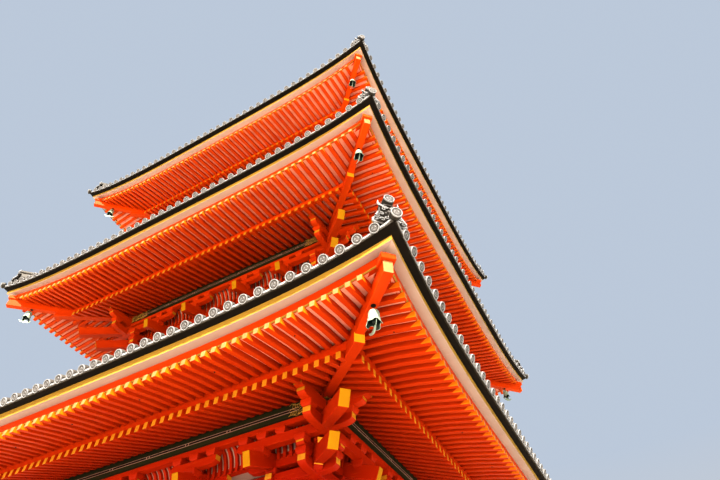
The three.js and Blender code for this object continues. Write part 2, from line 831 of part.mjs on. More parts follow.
// End tile and round tile at the front-right hip's lower end
function hipEnd(storey) {
  const half = ROOF_HALF[storey];
  const tip = TIP_Z[storey];
  const carved = plate(END_TILE_OUTLINE, END_TILE_THICKNESS)
    .rotate([0, 0, 90])
    .translate([(half - END_TILE_INSET) * Math.SQRT2, 0, tip + END_TILE_FOOT]);
  const round = cylinder(ROUND_TILE_RADIUS, 0, ROUND_TILE_LENGTH, 0, 0, SMALL_SIDES)
    .rotate([0, -90, 0])
    .translate([(half + ROUND_TILE_OUT) * Math.SQRT2, 0, tip + ROUND_TILE_HEIGHT]);
  return carved.add(round).rotate([0, 0, -45]);
}

function roof(storey) {
  const { under, slope, inner, innerLow } = roofBody(storey);
  const closed = [...under, { half: inner, z: innerLow }, { half: inner, z: slope[0].z }, ...slope];
  const ring = squareRing(closed, SIDE_SAG[storey], SIDE_BOW);
  const parts = [ring, ...quarterTurns(hipRidge(storey)), ...quarterTurns(hipEnd(storey))];
  if (storey === 2) {
    const lap = inner + TOP_CLOSURE_LAP;
    parts.push(box([-lap, -lap, innerLow + TOP_CLOSURE_LIFT], [lap, lap, slope[0].z]));
  }
  return union(parts);
}

// Balcony floor round an upper storey, with the skirt that stands on the roof frame below
function balcony(storey) {
  const half = columnHalf(storey);
  const top = BALCONY_TOP_Z[storey] - JOINT_GAP;
  const low = top - BALCONY_THICKNESS;
  const floor = squareTube(half + BALCONY_HALF_EXTRA, half - BALCONY_INNER, low, top);
  const inner = eaveInner(storey - 1);
  const skirtOuter = half + SKIRT_EXTRA;
  const below = storey - 1;
  const boards = PURLIN_BOARD + EAVE_THICKNESS + BASE_SLOPE * (purlinHalf(below) - inner);
  const skirt = squareTube(skirtOuter, inner, level(below, boards) + JOINT_GAP, top);
  return union([floor, skirt]);
}

function railing(storey) {
  const half = columnHalf(storey) + BALCONY_HALF_EXTRA - RAIL_INSET;
  const base = BALCONY_TOP_Z[storey];
  const bars = RAIL_BARS.map((bar) =>
    squareTube(half + bar.half, half - bar.half, base + bar.low, base + bar.high),
  );
  const post = (x, { width, top }) =>
    box([x - width / 2, -half - width / 2, base], [x + width / 2, -half + width / 2, base + top]);
  const cornerPosts = quarterTurns(post(-half, CORNER_POST));
  const middlePosts = [-half, half].flatMap((x) =>
    quarterTurns(post(x * MIDDLE_POST.share, MIDDLE_POST)),
  );
  return union([...bars, ...cornerPosts, ...middlePosts]);
}

function finialBase() {
  const z = ROOF_TOP_Z[2];
  const half = BASIN_SIZE / 2;
  const wide = half + BASIN_RIM;
  const top = z + BASIN_HEIGHT;
  const basin = box([-half, -half, z], [half, half, top]);
  const rim = box([-wide, -wide, top - BASIN_RIM_HEIGHT], [wide, wide, top]);
  return union([basin, rim, lathe(BOWL_PROFILE, BOWL_SIDES, top)]);
}

const finialShaftLow = () => ROOF_TOP_Z[2] + BASIN_HEIGHT + BOWL_TOP + JOINT_GAP;
const finialShaftHigh = () => finialShaftLow() + RING_COUNT * RING_PITCH + SHAFT_EXTRA;

// One ring on its spoke, the spokes turned a quarter from ring to ring
function finialRing(index) {
  const share = index / (RING_COUNT - 1);
  const radius = THREE.MathUtils.lerp(RING_OUTER[0], RING_OUTER[1], share);
  const low = finialShaftLow() + RING_START + index * RING_PITCH;
  const high = low + RING_HEIGHT;
  const outer = cylinder(radius, low, high, 0, 0, FINIAL_SIDES);
  const hole = cylinder(radius - RING_WALL, low - 1, high + 1, 0, 0, FINIAL_SIDES);
  const reach = radius - RING_WALL / 2;
  const spoke = box(
    [-reach, -SPOKE_HALF, low + RING_HEIGHT * SPOKE_LOW_SHARE],
    [reach, SPOKE_HALF, low + RING_HEIGHT * SPOKE_HIGH_SHARE],
  );
  return [outer.subtract(hole), spoke.rotate([0, 0, (index % 2) * 90])];
}

function finialRings() {
  const shaft = cylinder(SHAFT_RADIUS, finialShaftLow(), finialShaftHigh(), 0, 0, SMALL_SIDES);
  const rings = Array.from({ length: RING_COUNT }, (_, index) => finialRing(index)).flat();
  return union([shaft, ...rings]);
}

// Openwork flame plate from the stem outwards
function flamePlate() {
  const flame = new THREE.Shape();
  flame.moveTo(...FLAME_START);
  FLAME_CURVES.forEach((curve) => flame.quadraticCurveTo(...curve));
  flame.closePath();
  const hole = new THREE.Path();
  hole.absellipse(FLAME_HOLE.x, FLAME_HOLE.z, FLAME_HOLE.wide, FLAME_HOLE.high, 0, Math.PI * 2);
  flame.holes.push(hole);
  const settings = { depth: FLAME_THICKNESS, bevelEnabled: false, curveSegments: 3 };
  const geometry = new THREE.ExtrudeGeometry(flame, settings);
  geometry.translate(0, 0, -FLAME_THICKNESS / 2);
  geometry.rotateX(Math.PI / 2);
  return solid(geometry);
}

// Four flame plates round the stem, with two jewels above
function finialCrown() {
  const low = finialShaftHigh() + JOINT_GAP;
  const plates = quarterTurns(flamePlate().translate([0, 0, low]));
  const stem = cylinder(STEM_RADIUS, low, low + STEM_HEIGHT, 0, 0, SMALL_SIDES);
  const jewels = JEWEL_HEIGHTS.map((height) => lathe(JEWEL_PROFILE, SMALL_SIDES, low + height));
  return union([stem, ...plates, ...jewels]);
}

const SIDES = ['front', 'right', 'back', 'left'];
const pagoda = new THREE.Group();

function add(name, shape, material) {
  pagoda.add(toMesh(name, shape, material));
}

function buildBase() {
  add('podium', podium(), materials.stone);
  quarterTurns(steps()).forEach((flight, side) => add(`steps_${SIDES[side]}`, flight, materials.stone));
  const half = columnHalf(0) - FLOOR_INSET - JOINT_GAP;
  const floorTop = PODIUM_HEIGHT + FLOOR_THICKNESS;
  const columnHoles = columnPlaces(0).map(([x, y]) =>
    cylinder(COLUMN_RADIUS[0] + 1, PODIUM_HEIGHT - 1, floorTop + 1, x, y),
  );
  const floor = box([-half, -half, PODIUM_HEIGHT], [half, half, floorTop]);
  add('ground_floor', subtract(floor, columnHoles), materials.floor);
}

function buildGroundStorey() {
  add('frame_1', groundFrame(), materials.vermilion);
  quarterTurns(wallSide(0)).forEach((side, index) => {
    add(`wall_${SIDES[index]}_1`, side, materials.plaster);
  });
  quarterTurns(doorPanel(0)).forEach((door, index) => {
    add(`door_${SIDES[index]}_1`, door, materials.door);
  });
}

function buildUpperStorey(storey) {
  const number = storey + 1;
  add(`balcony_${number}`, balcony(storey), materials.vermilion);
  add(`railing_${number}`, railing(storey), materials.vermilion);
  add(`frame_${number}`, upperFrame(storey), materials.vermilion);
  add(`walls_${number}`, upperWalls(storey), materials.plaster);
}

function buildRoof(storey) {
  const number = storey + 1;
  add(`brackets_${number}`, brackets(storey), materials.vermilion);
  add(`purlin_${number}`, purlin(storey), materials.purlin);
  add(`eaves_${number}`, eaves(storey), materials.vermilion);
  add(`roof_${number}`, roof(storey), materials.tile);
  const corners = ['front_right', 'back_right', 'back_left', 'front_left'];
  quarterTurns(placeAtBell(bell(), storey)).forEach((part, corner) => {
    add(`bell_${number}_${corners[corner]}`, part, materials.bell);
  });
}

function buildFinial() {
  add('finial_base', finialBase(), materials.bronze);
  add('finial_rings', finialRings(), materials.bronze);
  add('finial_crown', finialCrown(), materials.bronze);
}

buildBase();
buildGroundStorey();
buildUpperStorey(1);
buildUpperStorey(2);
[0, 1, 2].forEach(buildRoof);
buildFinial();

export default pagoda;
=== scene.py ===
"""Looks of a three-storied timber pagoda: vermilion rafters and brackets, grey tile roofs, wind bells."""

import json
import logging
import math
from collections.abc import Callable, Sequence
from dataclasses import dataclass, field
from enum import Enum

import bmesh
import bpy
import numpy as np
from mathutils import Matrix, Vector

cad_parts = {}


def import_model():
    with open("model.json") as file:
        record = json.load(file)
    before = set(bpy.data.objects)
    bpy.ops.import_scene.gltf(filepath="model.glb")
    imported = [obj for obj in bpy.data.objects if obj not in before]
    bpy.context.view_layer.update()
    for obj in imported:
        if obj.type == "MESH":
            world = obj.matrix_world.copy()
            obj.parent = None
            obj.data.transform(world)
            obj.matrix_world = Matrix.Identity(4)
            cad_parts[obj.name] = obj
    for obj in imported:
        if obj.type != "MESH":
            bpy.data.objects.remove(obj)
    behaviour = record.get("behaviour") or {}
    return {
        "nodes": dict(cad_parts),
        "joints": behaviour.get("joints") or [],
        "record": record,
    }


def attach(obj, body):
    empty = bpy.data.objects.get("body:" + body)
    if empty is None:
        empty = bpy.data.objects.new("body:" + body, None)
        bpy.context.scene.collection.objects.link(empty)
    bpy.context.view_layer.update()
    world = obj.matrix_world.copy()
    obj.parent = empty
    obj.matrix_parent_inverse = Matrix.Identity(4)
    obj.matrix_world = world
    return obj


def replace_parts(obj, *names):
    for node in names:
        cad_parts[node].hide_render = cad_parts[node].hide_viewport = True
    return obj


LOG = logging.getLogger("pagoda")
TOWER = "tower"

Points = np.ndarray
Faces = list[tuple[int, ...]]
Solid = tuple[Points, Faces]
Point = tuple[float, float, float]
Pair = tuple[float, float]
Outline = Sequence[Pair]
Tree = bpy.types.NodeTree
Socket = bpy.types.NodeSocket

# The attribute that holds the direction of each timber's grain, and how far patterns stretch along it
RUN = "timber_run"
GRAIN_STRETCH = 0.94
# Painted shade on the tiles' downward faces, and how many patches of tone a metre of tiles has
UNDERSIDE_SHADE = "#2A2824"
TONES_PER_METRE = 3.6
# Painted shade: paint is darker in the shelter near the walls and fades to its open tone out and up, by
# weighted distance from the middle plus height
REACH_WEIGHT = 3.0
SHELTERED_SUM = 15.0
OPEN_SUM = 29.0
# Shape of all eaves: how the edge of a side dips and draws in between its corners
SAG_POWER = 4.3
BOW_POWER = 3.5
SIDE_BOW = 0.11
# Diagonal of a square plan, and turns from the x axis to the near corner and to the front
ROOT_2 = math.sqrt(2)
TO_CORNER = Matrix.Rotation(-math.pi / 4, 4, "Z")
TO_FRONT = Matrix.Rotation(-math.pi / 2, 4, "Z")
ALONG_X = Vector((1, 0, 0))
ALONG_Y: Point = (0.0, 1.0, 0.0)
UPRIGHT: Point = (0.0, 0.0, 1.0)


def linear(hex_colour: str) -> tuple[float, float, float, float]:
    """Turn an sRGB hex colour into linear RGBA.

    Args:
        hex_colour: Colour such as "#C0B8B0".

    Returns:
        Linear red, green, blue and an alpha of one.
    """
    channels = [int(hex_colour[start : start + 2], 16) / 255 for start in (1, 3, 5)]
    curved = [c / 12.92 if c <= 0.04045 else ((c + 0.055) / 1.055) ** 2.4 for c in channels]
    return (curved[0], curved[1], curved[2], 1.0)


def add_node(
    tree: Tree, kind: str, inputs: dict | None = None, output: int | str = 0, **settings
) -> Socket | None:
    """Add one shader node with its settings and links.

    Args:
        tree: Node tree to add to.
        kind: Blender's node type name, after "ShaderNode".
        inputs: Socket name or index to a value, or to the output socket that feeds it.
        output: Name or index of the output to return.
        **settings: Properties of the node.

    Returns:
        The chosen output, or None where the node has none.
    """
    node = tree.nodes.new("ShaderNode" + kind)
    for key, value in settings.items():
        setattr(node, key, value)
    for key, value in (inputs or {}).items():
        if isinstance(value, Socket):
            tree.links.new(value, node.inputs[key])
        else:
            node.inputs[key].default_value = value
    return node.outputs[output] if node.outputs else None


def mix(tree: Tree, share: Socket, first: object, second: object) -> Socket:
    """Mix two colours, each a linear RGBA or a socket, by a share from 0 to 1."""
    return add_node(tree, "Mix", {0: share, 6: first, 7: second}, 2, data_type="RGBA")


def map_range(tree: Tree, value: Socket, source: Pair = (0.0, 1.0), target: Pair = (0.0, 1.0)) -> Socket:
    """Map a value from one range to another, held at its ends."""
    limits = {"From Min": source[0], "From Max": source[1], "To Min": target[0], "To Max": target[1]}
    return add_node(tree, "MapRange", {"Value": value, **limits})


class Pattern(Enum):
    """How a finish varies over its surface."""

    BRUSHED = "brushed paint over planed timber"
    WEATHERED = "bare timber with open grain"
    # The darker undersides of this pattern are painted shade
    SMOKED = "smoked clay, each tile a little apart in tone, soot left on its undersides"
    RAINED = "smoked clay washed clean by rain"
    TROWELLED = "trowelled lime"
    SPECKLED = "dressed stone with grains"
    CAST = "cast metal with patina"


@dataclass(frozen=True)
class Finish:
    """A surface finish: what it is made of, its colours, its gloss and the scale of its pattern."""

    name: str
    slot: str
    pattern: Pattern
    main: str
    other: str
    worn: str
    roughness: float
    pattern_mm: float
    bump_mm: float = 0.4
    metallic: float = 0.0
    gloss: float = 0.5
    # Darker tone painted in as shade in sheltered places, or empty for none
    deep: str = ""

    def material(self) -> bpy.types.Material:
        """Return this finish's material, made on first use."""
        found = bpy.data.materials.get(self.name)
        return found or self._make()

    def _make(self) -> bpy.types.Material:
        """Build the node tree: two tones, painted shade on downward tile faces and in shelter, wear,
        roughness and bump.
        """
        made = bpy.data.materials.new(self.name)
        made.use_nodes = True
        tree = made.node_tree
        tree.nodes.clear()
        place = add_node(tree, "TexCoord", output="Object")
        fine, broad = self._patterns(tree, place)
        tone = mix(tree, broad, linear(self.main), linear(self.other))
        # Painted shade: faces that turn downwards take the dark underside shade
        if self.pattern is Pattern.SMOKED:
            normal = add_node(tree, "NewGeometry", output="Normal")
            height = add_node(tree, "SeparateXYZ", {0: normal}, 2)
            tone = mix(tree, map_range(tree, height, (0.3, -0.25)), tone, linear(UNDERSIDE_SHADE))
        # Painted shade: a darker tone in sheltered places that fades out towards the open air
        if self.deep:
            tone = mix(tree, self._open_air(tree, place), linear(self.deep), tone)
        worn_amount = map_range(tree, fine, (0.62, 0.8), (0.0, 0.55))
        roughness = (max(0.05, self.roughness - 0.08), self.roughness + 0.1)
        relief = {"Height": fine, "Distance": self.bump_mm / 1000, "Strength": 0.6}
        shading = {
            "Base Color": mix(tree, worn_amount, tone, linear(self.worn)),
            "Roughness": map_range(tree, fine, target=roughness),
            "Normal": add_node(tree, "Bump", relief),
            "Metallic": self.metallic,
            "Specular IOR Level": self.gloss,
        }
        add_node(tree, "OutputMaterial", {"Surface": add_node(tree, "BsdfPrincipled", shading)})
        return made

    @staticmethod
    def _open_air(tree: Tree, place: Socket) -> Socket:
        """Rate how far out and up a place is from the shelter near the walls, 0 sheltered to 1 open, for the
        painted shade.
        """
        parts = add_node(tree, "SeparateXYZ", {0: place}).node.outputs
        sides = [add_node(tree, "Math", {0: parts[axis]}, operation="ABSOLUTE") for axis in (0, 1)]
        out = add_node(tree, "Math", {0: sides[0], 1: sides[1]}, operation="MAXIMUM")
        openness = add_node(tree, "Math", {0: out, 1: REACH_WEIGHT, 2: parts[2]}, operation="MULTIPLY_ADD")
        return map_range(tree, openness, (SHELTERED_SUM, OPEN_SUM))

    def _patterns(self, tree: Tree, place: Socket) -> tuple[Socket, Socket]:
        """Make the fine and the broad pattern.

        Args:
            tree: The material's node tree.
            place: Position in metres.

        Returns:
            Fine pattern for bump, roughness and wear, and broad pattern for the two tones.
        """
        scale = 1000 / self.pattern_mm
        if self.pattern in (Pattern.BRUSHED, Pattern.WEATHERED):
            run = add_node(tree, "Attribute", output="Vector", attribute_name=RUN, attribute_type="GEOMETRY")
            along = add_node(tree, "VectorMath", {0: place, 1: run}, "Value", operation="DOT_PRODUCT")
            pull = add_node(tree, "VectorMath", {0: run, "Scale": along}, operation="SCALE")
            share = add_node(tree, "VectorMath", {0: pull, "Scale": GRAIN_STRETCH}, operation="SCALE")
            place = add_node(tree, "VectorMath", {0: place, 1: share}, operation="SUBTRACT")
        if self.pattern is Pattern.SPECKLED:
            fine = add_node(tree, "TexVoronoi", {"Vector": place, "Scale": scale}, "Color", feature="F1")
        else:
            grains = {"Vector": place, "Scale": scale, "Detail": 5.0, "Roughness": 0.6}
            fine = add_node(tree, "TexNoise", grains)
        if self.pattern is Pattern.SMOKED:
            grid = {"Vector": place, "Scale": TONES_PER_METRE}
            cells = add_node(tree, "TexVoronoi", grid, "Color", feature="F1")
            return fine, add_node(tree, "SeparateColor", {0: cells})
        cloud = add_node(tree, "TexNoise", {"Vector": place, "Scale": scale / 9, "Detail": 3.0})
        return fine, map_range(tree, cloud, (0.32, 0.68))


# Oil paint on planed timber: satin, red lead and cinnabar, brush marks along each timber, and a darker red
# painted in as shade where it is sheltered
VERMILION = Finish(
    "vermilion_oil_paint", "vermilion_timber", Pattern.BRUSHED, "#CC4E03", "#BE4202", "#D8681C", 0.5, 22,
    gloss=0.08, deep="#8C1A00",
)
# The same paint on the timbers' end grain in a clear yellow, brighter than anything round it
END_YELLOW = Finish(
    "yellow_end_paint", "vermilion_timber", Pattern.BRUSHED, "#A6893E", "#9A7D34", "#B49852", 0.5, 30,
    gloss=0.2,
)
# Yellow paint of the flying rafters' ends, a paler copy that stands in for the sun on them: painted light
END_SUNLIT = Finish(
    "bleached_end_paint", "vermilion_timber", Pattern.BRUSHED, "#A87850", "#9C6C44", "#B48860", 0.55, 30,
    gloss=0.15,
)
# A wedge of orange-gold on the rafters' sides just behind their ends: painted sunlight where the sun reaches
# under the eave's edge
END_SUN_WEDGE = Finish(
    "wrapped_end_paint", "vermilion_timber", Pattern.BRUSHED, "#D88010", "#CE740C", "#E09028", 0.5, 22,
    gloss=0.15,
)
# The tails' ends, always in shade: a deeper, more saturated copy of the end paint as painted shade
END_DEEP = Finish(
    "deep_yellow_end_paint", "vermilion_timber", Pattern.BRUSHED, "#A67C03", "#9C7202", "#B08810", 0.55, 30,
    gloss=0.1,
)
# Ochre on rafter and arm ends deeper under the eaves, a darker, browner copy of the end paint as painted
# shade
END_OCHRE = Finish(
    "ochre_end_paint", "vermilion_timber", Pattern.BRUSHED, "#B4801C", "#A47210", "#C49238", 0.55, 30,
    gloss=0.2,
)
# The corner rafters' ends deeper under the eaves, a brighter ochre copy that stands in for the light reaching
# them: painted light
END_OCHRE_BRIGHT = Finish(
    "golden_ochre_end_paint", "vermilion_timber", Pattern.BRUSHED, "#E0A018", "#D49410", "#F0C050", 0.5, 30
)
# Chalk white boards with a warm cast painted in as light reflected from the red paint round them, and painted
# shade where they are sheltered
CHALK_BOARD = Finish(
    "chalk_white_board", "vermilion_timber", Pattern.BRUSHED, "#B8ACA4", "#B0A29A", "#C0B7B0", 0.7, 45,
    gloss=0.15, deep="#907A72",
)
# The planks above the rafters, chalk white with a pink glow painted in as light reflected from the vermilion
# timbers between them, and painted shade where they are sheltered
CHALK_SOFFIT = Finish(
    "chalk_white_soffit", "vermilion_timber", Pattern.BRUSHED, "#F2B8A4", "#EAAE9A", "#F8C4B2", 0.7, 45,
    gloss=0.15, deep="#B87868",
)
# Dark green mineral paint on the eave purlins
GREEN_PAINT = Finish(
    "dark_green_paint", "green_timber", Pattern.BRUSHED, "#262A12", "#1C200D", "#363C22", 0.6, 25, gloss=0.15
)
# Brown-black and faded rose lines drawn along the purlins
LINE_DARK = Finish(
    "brown_black_line", "green_timber", Pattern.BRUSHED, "#1C0C08", "#160906", "#30180F", 0.6, 25, gloss=0.15
)
LINE_ROSE = Finish(
    "faded_rose_line", "green_timber", Pattern.BRUSHED, "#A08478", "#94786C", "#B49A8E", 0.6, 25, gloss=0.15
)
# Gold pigment scrolls, faded to tan
SCROLL_GOLD = Finish(
    "gold_scroll_paint", "green_timber", Pattern.BRUSHED, "#A8843C", "#98762E", "#C0A05A", 0.5, 25, gloss=0.2
)
# Bare cypress under the tiles, dark with age, and near black as painted shade under the tile lips
AGED_CYPRESS = Finish(
    "aged_cypress", "roof_tile", Pattern.WEATHERED, "#16110B", "#0F0B07", "#2E2619", 0.9, 14, 1.5, gloss=0.15
)
# Smoked clay tile: silver grey, a soft sheen, each tile a little lighter or darker, with painted shade on its
# downward faces
SMOKED_TILE = Finish(
    "smoked_clay_tile", "roof_tile", Pattern.SMOKED, "#62605C", "#54524F", "#73706B", 0.55, 18, 0.8, gloss=0.3
)
# The eave end tiles, washed lighter by rain, and a darker grey in the ring-shaped hollow of each disc
RAINED_TILE = Finish(
    "rain_washed_tile", "roof_tile", Pattern.RAINED, "#8C9096", "#81858B", "#9A9EA4", 0.6, 30, 0.4, gloss=0.2
)
HOLLOW_TILE_DARK = Finish(
    "sooty_tile_hollow", "roof_tile", Pattern.RAINED, "#37342F", "#2C2A26", "#44403A", 0.7, 30, 0.4,
    gloss=0.15,
)
GREY_TILE = Finish(
    "grey_tile_face", "roof_tile", Pattern.RAINED, "#5E5E60", "#545456", "#6C6C6E", 0.65, 30, 0.4, gloss=0.2
)
# Deepest hollows of the ornaments, near black
HOLLOW_BLACK = Finish(
    "soot_black_hollow", "roof_tile", Pattern.RAINED, "#1C1A17", "#161412", "#26231F", 0.8, 30, 0.4, gloss=0.1
)
# Lime plaster, trowelled smooth
LIME_PLASTER = Finish(
    "lime_plaster", "plaster", Pattern.TROWELLED, "#A8A398", "#9C968B", "#B6B1A7", 0.85, 60, 0.6, gloss=0.2
)
# Planks of the doors, the same vermilion gone deeper by handling
DOOR_PAINT = Finish(
    "door_plank_paint", "door_timber", Pattern.BRUSHED, "#B0300A", "#A02806", "#C44C20", 0.5, 20, gloss=0.15
)
# Green bars in the windows
BAR_GREEN = Finish(
    "window_bar_green", "green_timber", Pattern.BRUSHED, "#28583E", "#204A33", "#3C6E52", 0.5, 20, gloss=0.2
)
# Worn boards of the floors
FLOOR_BOARD = Finish(
    "worn_floor_board", "floor_boards", Pattern.WEATHERED, "#8C6A48", "#7A5A3C", "#A88864", 0.65, 12, 1.2
)
# Dressed granite: pale, with dark and light grains drawn as coarse as they need to show
DRESSED_GRANITE = Finish(
    "dressed_granite", "stone", Pattern.SPECKLED, "#6C6A65", "#5C5A55", "#807E78", 0.75, 9, 0.8, gloss=0.3
)
# Cast bronze of the finial, gone dull green
FINIAL_BRONZE = Finish(
    "finial_cast_bronze", "finial_bronze", Pattern.CAST, "#4A6256", "#3A4C41", "#6E877A", 0.5, 30, 0.6, 0.5
)
# Cast bronze of the bells under a pale verdigris bloom, almost white in the sun
BELL_BRONZE = Finish(
    "bell_pale_verdigris", "bell_bronze", Pattern.CAST, "#96AAA0", "#80968A", "#A8B8B0", 0.5, 16, 0.5, 0.1
)
# Inside of the bells, dark green
BELL_INSIDE = Finish(
    "bell_dark_inside", "bell_bronze", Pattern.CAST, "#1C2E27", "#15241E", "#2E443B", 0.6, 16, 0.5, 0.2
)
# Forged iron, black and dry
FORGED_IRON = Finish(
    "forged_iron", "bell_bronze", Pattern.CAST, "#1C1714", "#120F0D", "#302822", 0.6, 10, 0.5, 0.7
)
# Gilt brass caps and nail covers
GILT_BRASS = Finish(
    "gilt_brass", "finial_bronze", Pattern.CAST, "#C8A048", "#B08834", "#E0C070", 0.35, 20, 0.3, 0.9
)


class Form:
    """Faces of one piece, each with its finish and the run of its timber, before it becomes an object."""

    def __init__(self) -> None:
        """Start with nothing in it."""
        self.points: list[Points] = []
        self.faces: Faces = []
        self.finishes: list[Finish] = []
        self.runs: list[Point] = []
        self.count = 0

    def add(
        self,
        points: Sequence[Sequence[float]] | Points,
        faces: Faces,
        finish: Finish | Sequence[Finish],
        run: Point = (1.0, 0.0, 0.0),
    ) -> "Form":
        """Add points and the faces between them.

        Args:
            points: Corner points.
            faces: Corner numbers of each face, counted in points.
            finish: One finish, or one for each face.
            run: Direction in which the timber's grain runs.

        Returns:
            This form.
        """
        block = np.asarray(points, float).reshape(-1, 3)
        self.points.append(block)
        self.faces.extend(tuple(self.count + corner for corner in face) for face in faces)
        self.finishes.extend([finish] * len(faces) if isinstance(finish, Finish) else finish)
        self.runs.extend([run] * len(faces))
        self.count += len(block)
        return self

    def merge(self, other: "Form", matrix: Matrix | None = None) -> "Form":
        """Add another form, moved by a matrix.

        Args:
            other: Form to copy from.
            matrix: Where the copy goes, or None to leave it in place.

        Returns:
            This form.
        """
        move = np.array(matrix or Matrix.Identity(4))
        block = np.vstack(other.points) @ move[:3, :3].T + move[:3, 3]
        self.points.append(block)
        self.faces.extend(tuple(self.count + corner for corner in face) for face in other.faces)
        self.finishes.extend(other.finishes)
        self.runs.extend(tuple(move[:3, :3] @ np.array(run)) for run in other.runs)
        self.count += len(block)
        return self

    def on_four_sides(self) -> "Form":
        """Return this form repeated on the front, right, back and left."""
        whole = Form()
        for turn in range(4):
            whole.merge(self, Matrix.Rotation(math.pi / 2 * turn, 4, "Z"))
        return whole

    def to_piece(
        self, name: str, body: str = TOWER, bevel: float = 0.0, smooth_under: float = 35.0
    ) -> bpy.types.Object:
        """Make the Blender object, dressed and riding on its body.

        Args:
            name: Name of the piece.
            body: CAD body that it moves with.
            bevel: Width of the rounded edges in metres, or 0 for none.
            smooth_under: Edges that bend by less than this many degrees are smooth.

        Returns:
            The new object.
        """
        mesh = bpy.data.meshes.new(name)
        mesh.from_pydata(np.vstack(self.points).tolist(), [], self.faces)
        used = list(dict.fromkeys(self.finishes))
        for finish in used:
            mesh.materials.append(finish.material())
        numbers = {finish: number for number, finish in enumerate(used)}
        mesh.polygons.foreach_set("material_index", [numbers[finish] for finish in self.finishes])
        mesh.attributes.new(RUN, "FLOAT_VECTOR", "FACE").data.foreach_set("vector", np.ravel(self.runs))
        shape = bmesh.new()
        shape.from_mesh(mesh)
        bmesh.ops.recalc_face_normals(shape, faces=shape.faces)
        shape.to_mesh(mesh)
        shape.free()
        mesh.shade_smooth()
        mesh.set_sharp_from_angle(angle=math.radians(smooth_under))
        piece = bpy.data.objects.new(name, mesh)
        bpy.context.scene.collection.objects.link(piece)
        if bevel:
            rounded = piece.modifiers.new("eased_edges", "BEVEL")
            rounded.width = bevel
            rounded.segments = 1
            rounded.limit_method = "ANGLE"
            rounded.angle_limit = math.radians(40)
        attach(piece, body)
        LOG.info("%s: %d faces", name, len(self.faces))
        return piece


def loft(rings: Sequence[Sequence[Sequence[float]]], closed: bool = False) -> Solid:
    """Join rings of points, one after the other, into a solid.

    Args:
        rings: Rings with the same number of points each.
        closed: Whether the last ring joins the first one, instead of both being capped.

    Returns:
        Points and faces: the sides first, then the first cap and the last cap.
    """
    block = np.asarray(rings, float)
    count, size = block.shape[0], block.shape[1]
    faces: Faces = []
    for ring in range(count if closed else count - 1):
        here, there = ring * size, (ring + 1) % count * size
        for corner in range(size):
            beside = (corner + 1) % size
            faces.append((here + corner, here + beside, there + beside, there + corner))
    if not closed:
        faces.append(tuple(reversed(range(size))))
        faces.append(tuple((count - 1) * size + corner for corner in range(size)))
    return block.reshape(-1, 3), faces


def block(low: Sequence[float], high: Sequence[float], foot: float = 1.0) -> Solid:
    """Make a box, or a bearing block whose lower part narrows to its foot.

    Args:
        low: Lowest corner.
        high: Highest corner.
        foot: Width of the foot as a share of the top, 1 for a plain box.

    Returns:
        Points and faces.
    """
    centre = [(low[0] + high[0]) / 2, (low[1] + high[1]) / 2]
    half = [(high[0] - low[0]) / 2, (high[1] - low[1]) / 2]
    corners = [(-1, -1), (1, -1), (1, 1), (-1, 1)]
    levels = [(low[2], 1.0), (high[2], 1.0)]
    if foot < 1:
        levels = [(low[2], foot), (low[2] + (high[2] - low[2]) * 0.42, 1.0), (high[2], 1.0)]
    rings = [
        [(centre[0] + x * half[0] * share, centre[1] + y * half[1] * share, z) for x, y in corners]
        for z, share in levels
    ]
    return loft(rings)


def centred(place: Pair, half: Pair, low: float, high: float, foot: float = 1.0) -> Solid:
    """Make a box or a bearing block over a place of the plan.

    Args:
        place: Its middle in the plan.
        half: Half its size along x and y.
        low: Bottom.
        high: Top.
        foot: Width of the foot as a share of the top.

    Returns:
        Points and faces.
    """
    (x, y), (wide, deep) = place, half
    return block((x - wide, y - deep, low), (x + wide, y + deep, high), foot)


def square_ring(section: Outline) -> Solid:
    """Run a section round the square plan, mitred at its corners.

    Args:
        section: Half width and height of each point.

    Returns:
        Points and faces.
    """
    rings = []
    for right, back in ((-1, -1), (1, -1), (1, 1), (-1, 1)):
        rings.append([(right * half, back * half, z) for half, z in section])
    return loft(rings, closed=True)


def square_tube(outer: float, inner: float, low: float, high: float) -> Solid:
    """Make a square ring of rectangular section."""
    return square_ring([(outer, low), (outer, high), (inner, high), (inner, low)])


def mitred(outer: float, inner: float, low: float, high: float) -> Solid:
    """Make the front quarter of a square ring, mitred at its ends."""
    plan = ((-outer, -outer), (outer, -outer), (inner, -inner), (-inner, -inner))
    return loft([[(x, y, z) for x, y in plan] for z in (low, high)])


def slab(outline: Outline, thickness: float) -> Solid:
    """Extrude an outline of the x-z plane along y, centred on y = 0.

    Args:
        outline: Points (x, z) in order.
        thickness: Size along y.

    Returns:
        Points and faces: one side face for each outline edge, then the two flat faces.
    """
    near = [(x, -thickness / 2, z) for x, z in outline]
    far = [(x, thickness / 2, z) for x, z in outline]
    return loft([near, far])


def shift(x: float = 0.0, y: float = 0.0, z: float = 0.0) -> Matrix:
    """Make a matrix that moves by x, y and z."""
    return Matrix.Translation((x, y, z))


def around(radius: float, angle: float, height: float) -> Point:
    """Place a point round the z axis."""
    return (radius * math.cos(angle), radius * math.sin(angle), height)


def turned(profile: Outline, sides: int = 32) -> Solid:
    """Turn a profile round the z axis.

    Args:
        profile: Points (radius, height) from the bottom up, with radius 0 at both ends of a closed solid.
        sides: Number of facets round.

    Returns:
        Points and faces.
    """
    ring = np.arange(sides) * 2 * math.pi / sides
    points = [around(r, a, z) for r, z in profile if r > 0 for a in ring]
    faces: Faces = []
    rows = [pair for pair in profile if pair[0] > 0]
    for row in range(len(rows) - 1):
        for side in range(sides):
            beside = (side + 1) % sides
            low, high = row * sides, (row + 1) * sides
            faces.append((low + side, low + beside, high + beside, high + side))
    if profile[0][0] == 0:
        points.append((0.0, 0.0, profile[0][1]))
        tip = len(points) - 1
        faces.extend((tip, (side + 1) % sides, side) for side in range(sides))
    if profile[-1][0] == 0:
        points.append((0.0, 0.0, profile[-1][1]))
        tip, low = len(points) - 1, (len(rows) - 1) * sides
        faces.extend((tip, low + side, low + (side + 1) % sides) for side in range(sides))
    return np.array(points), faces


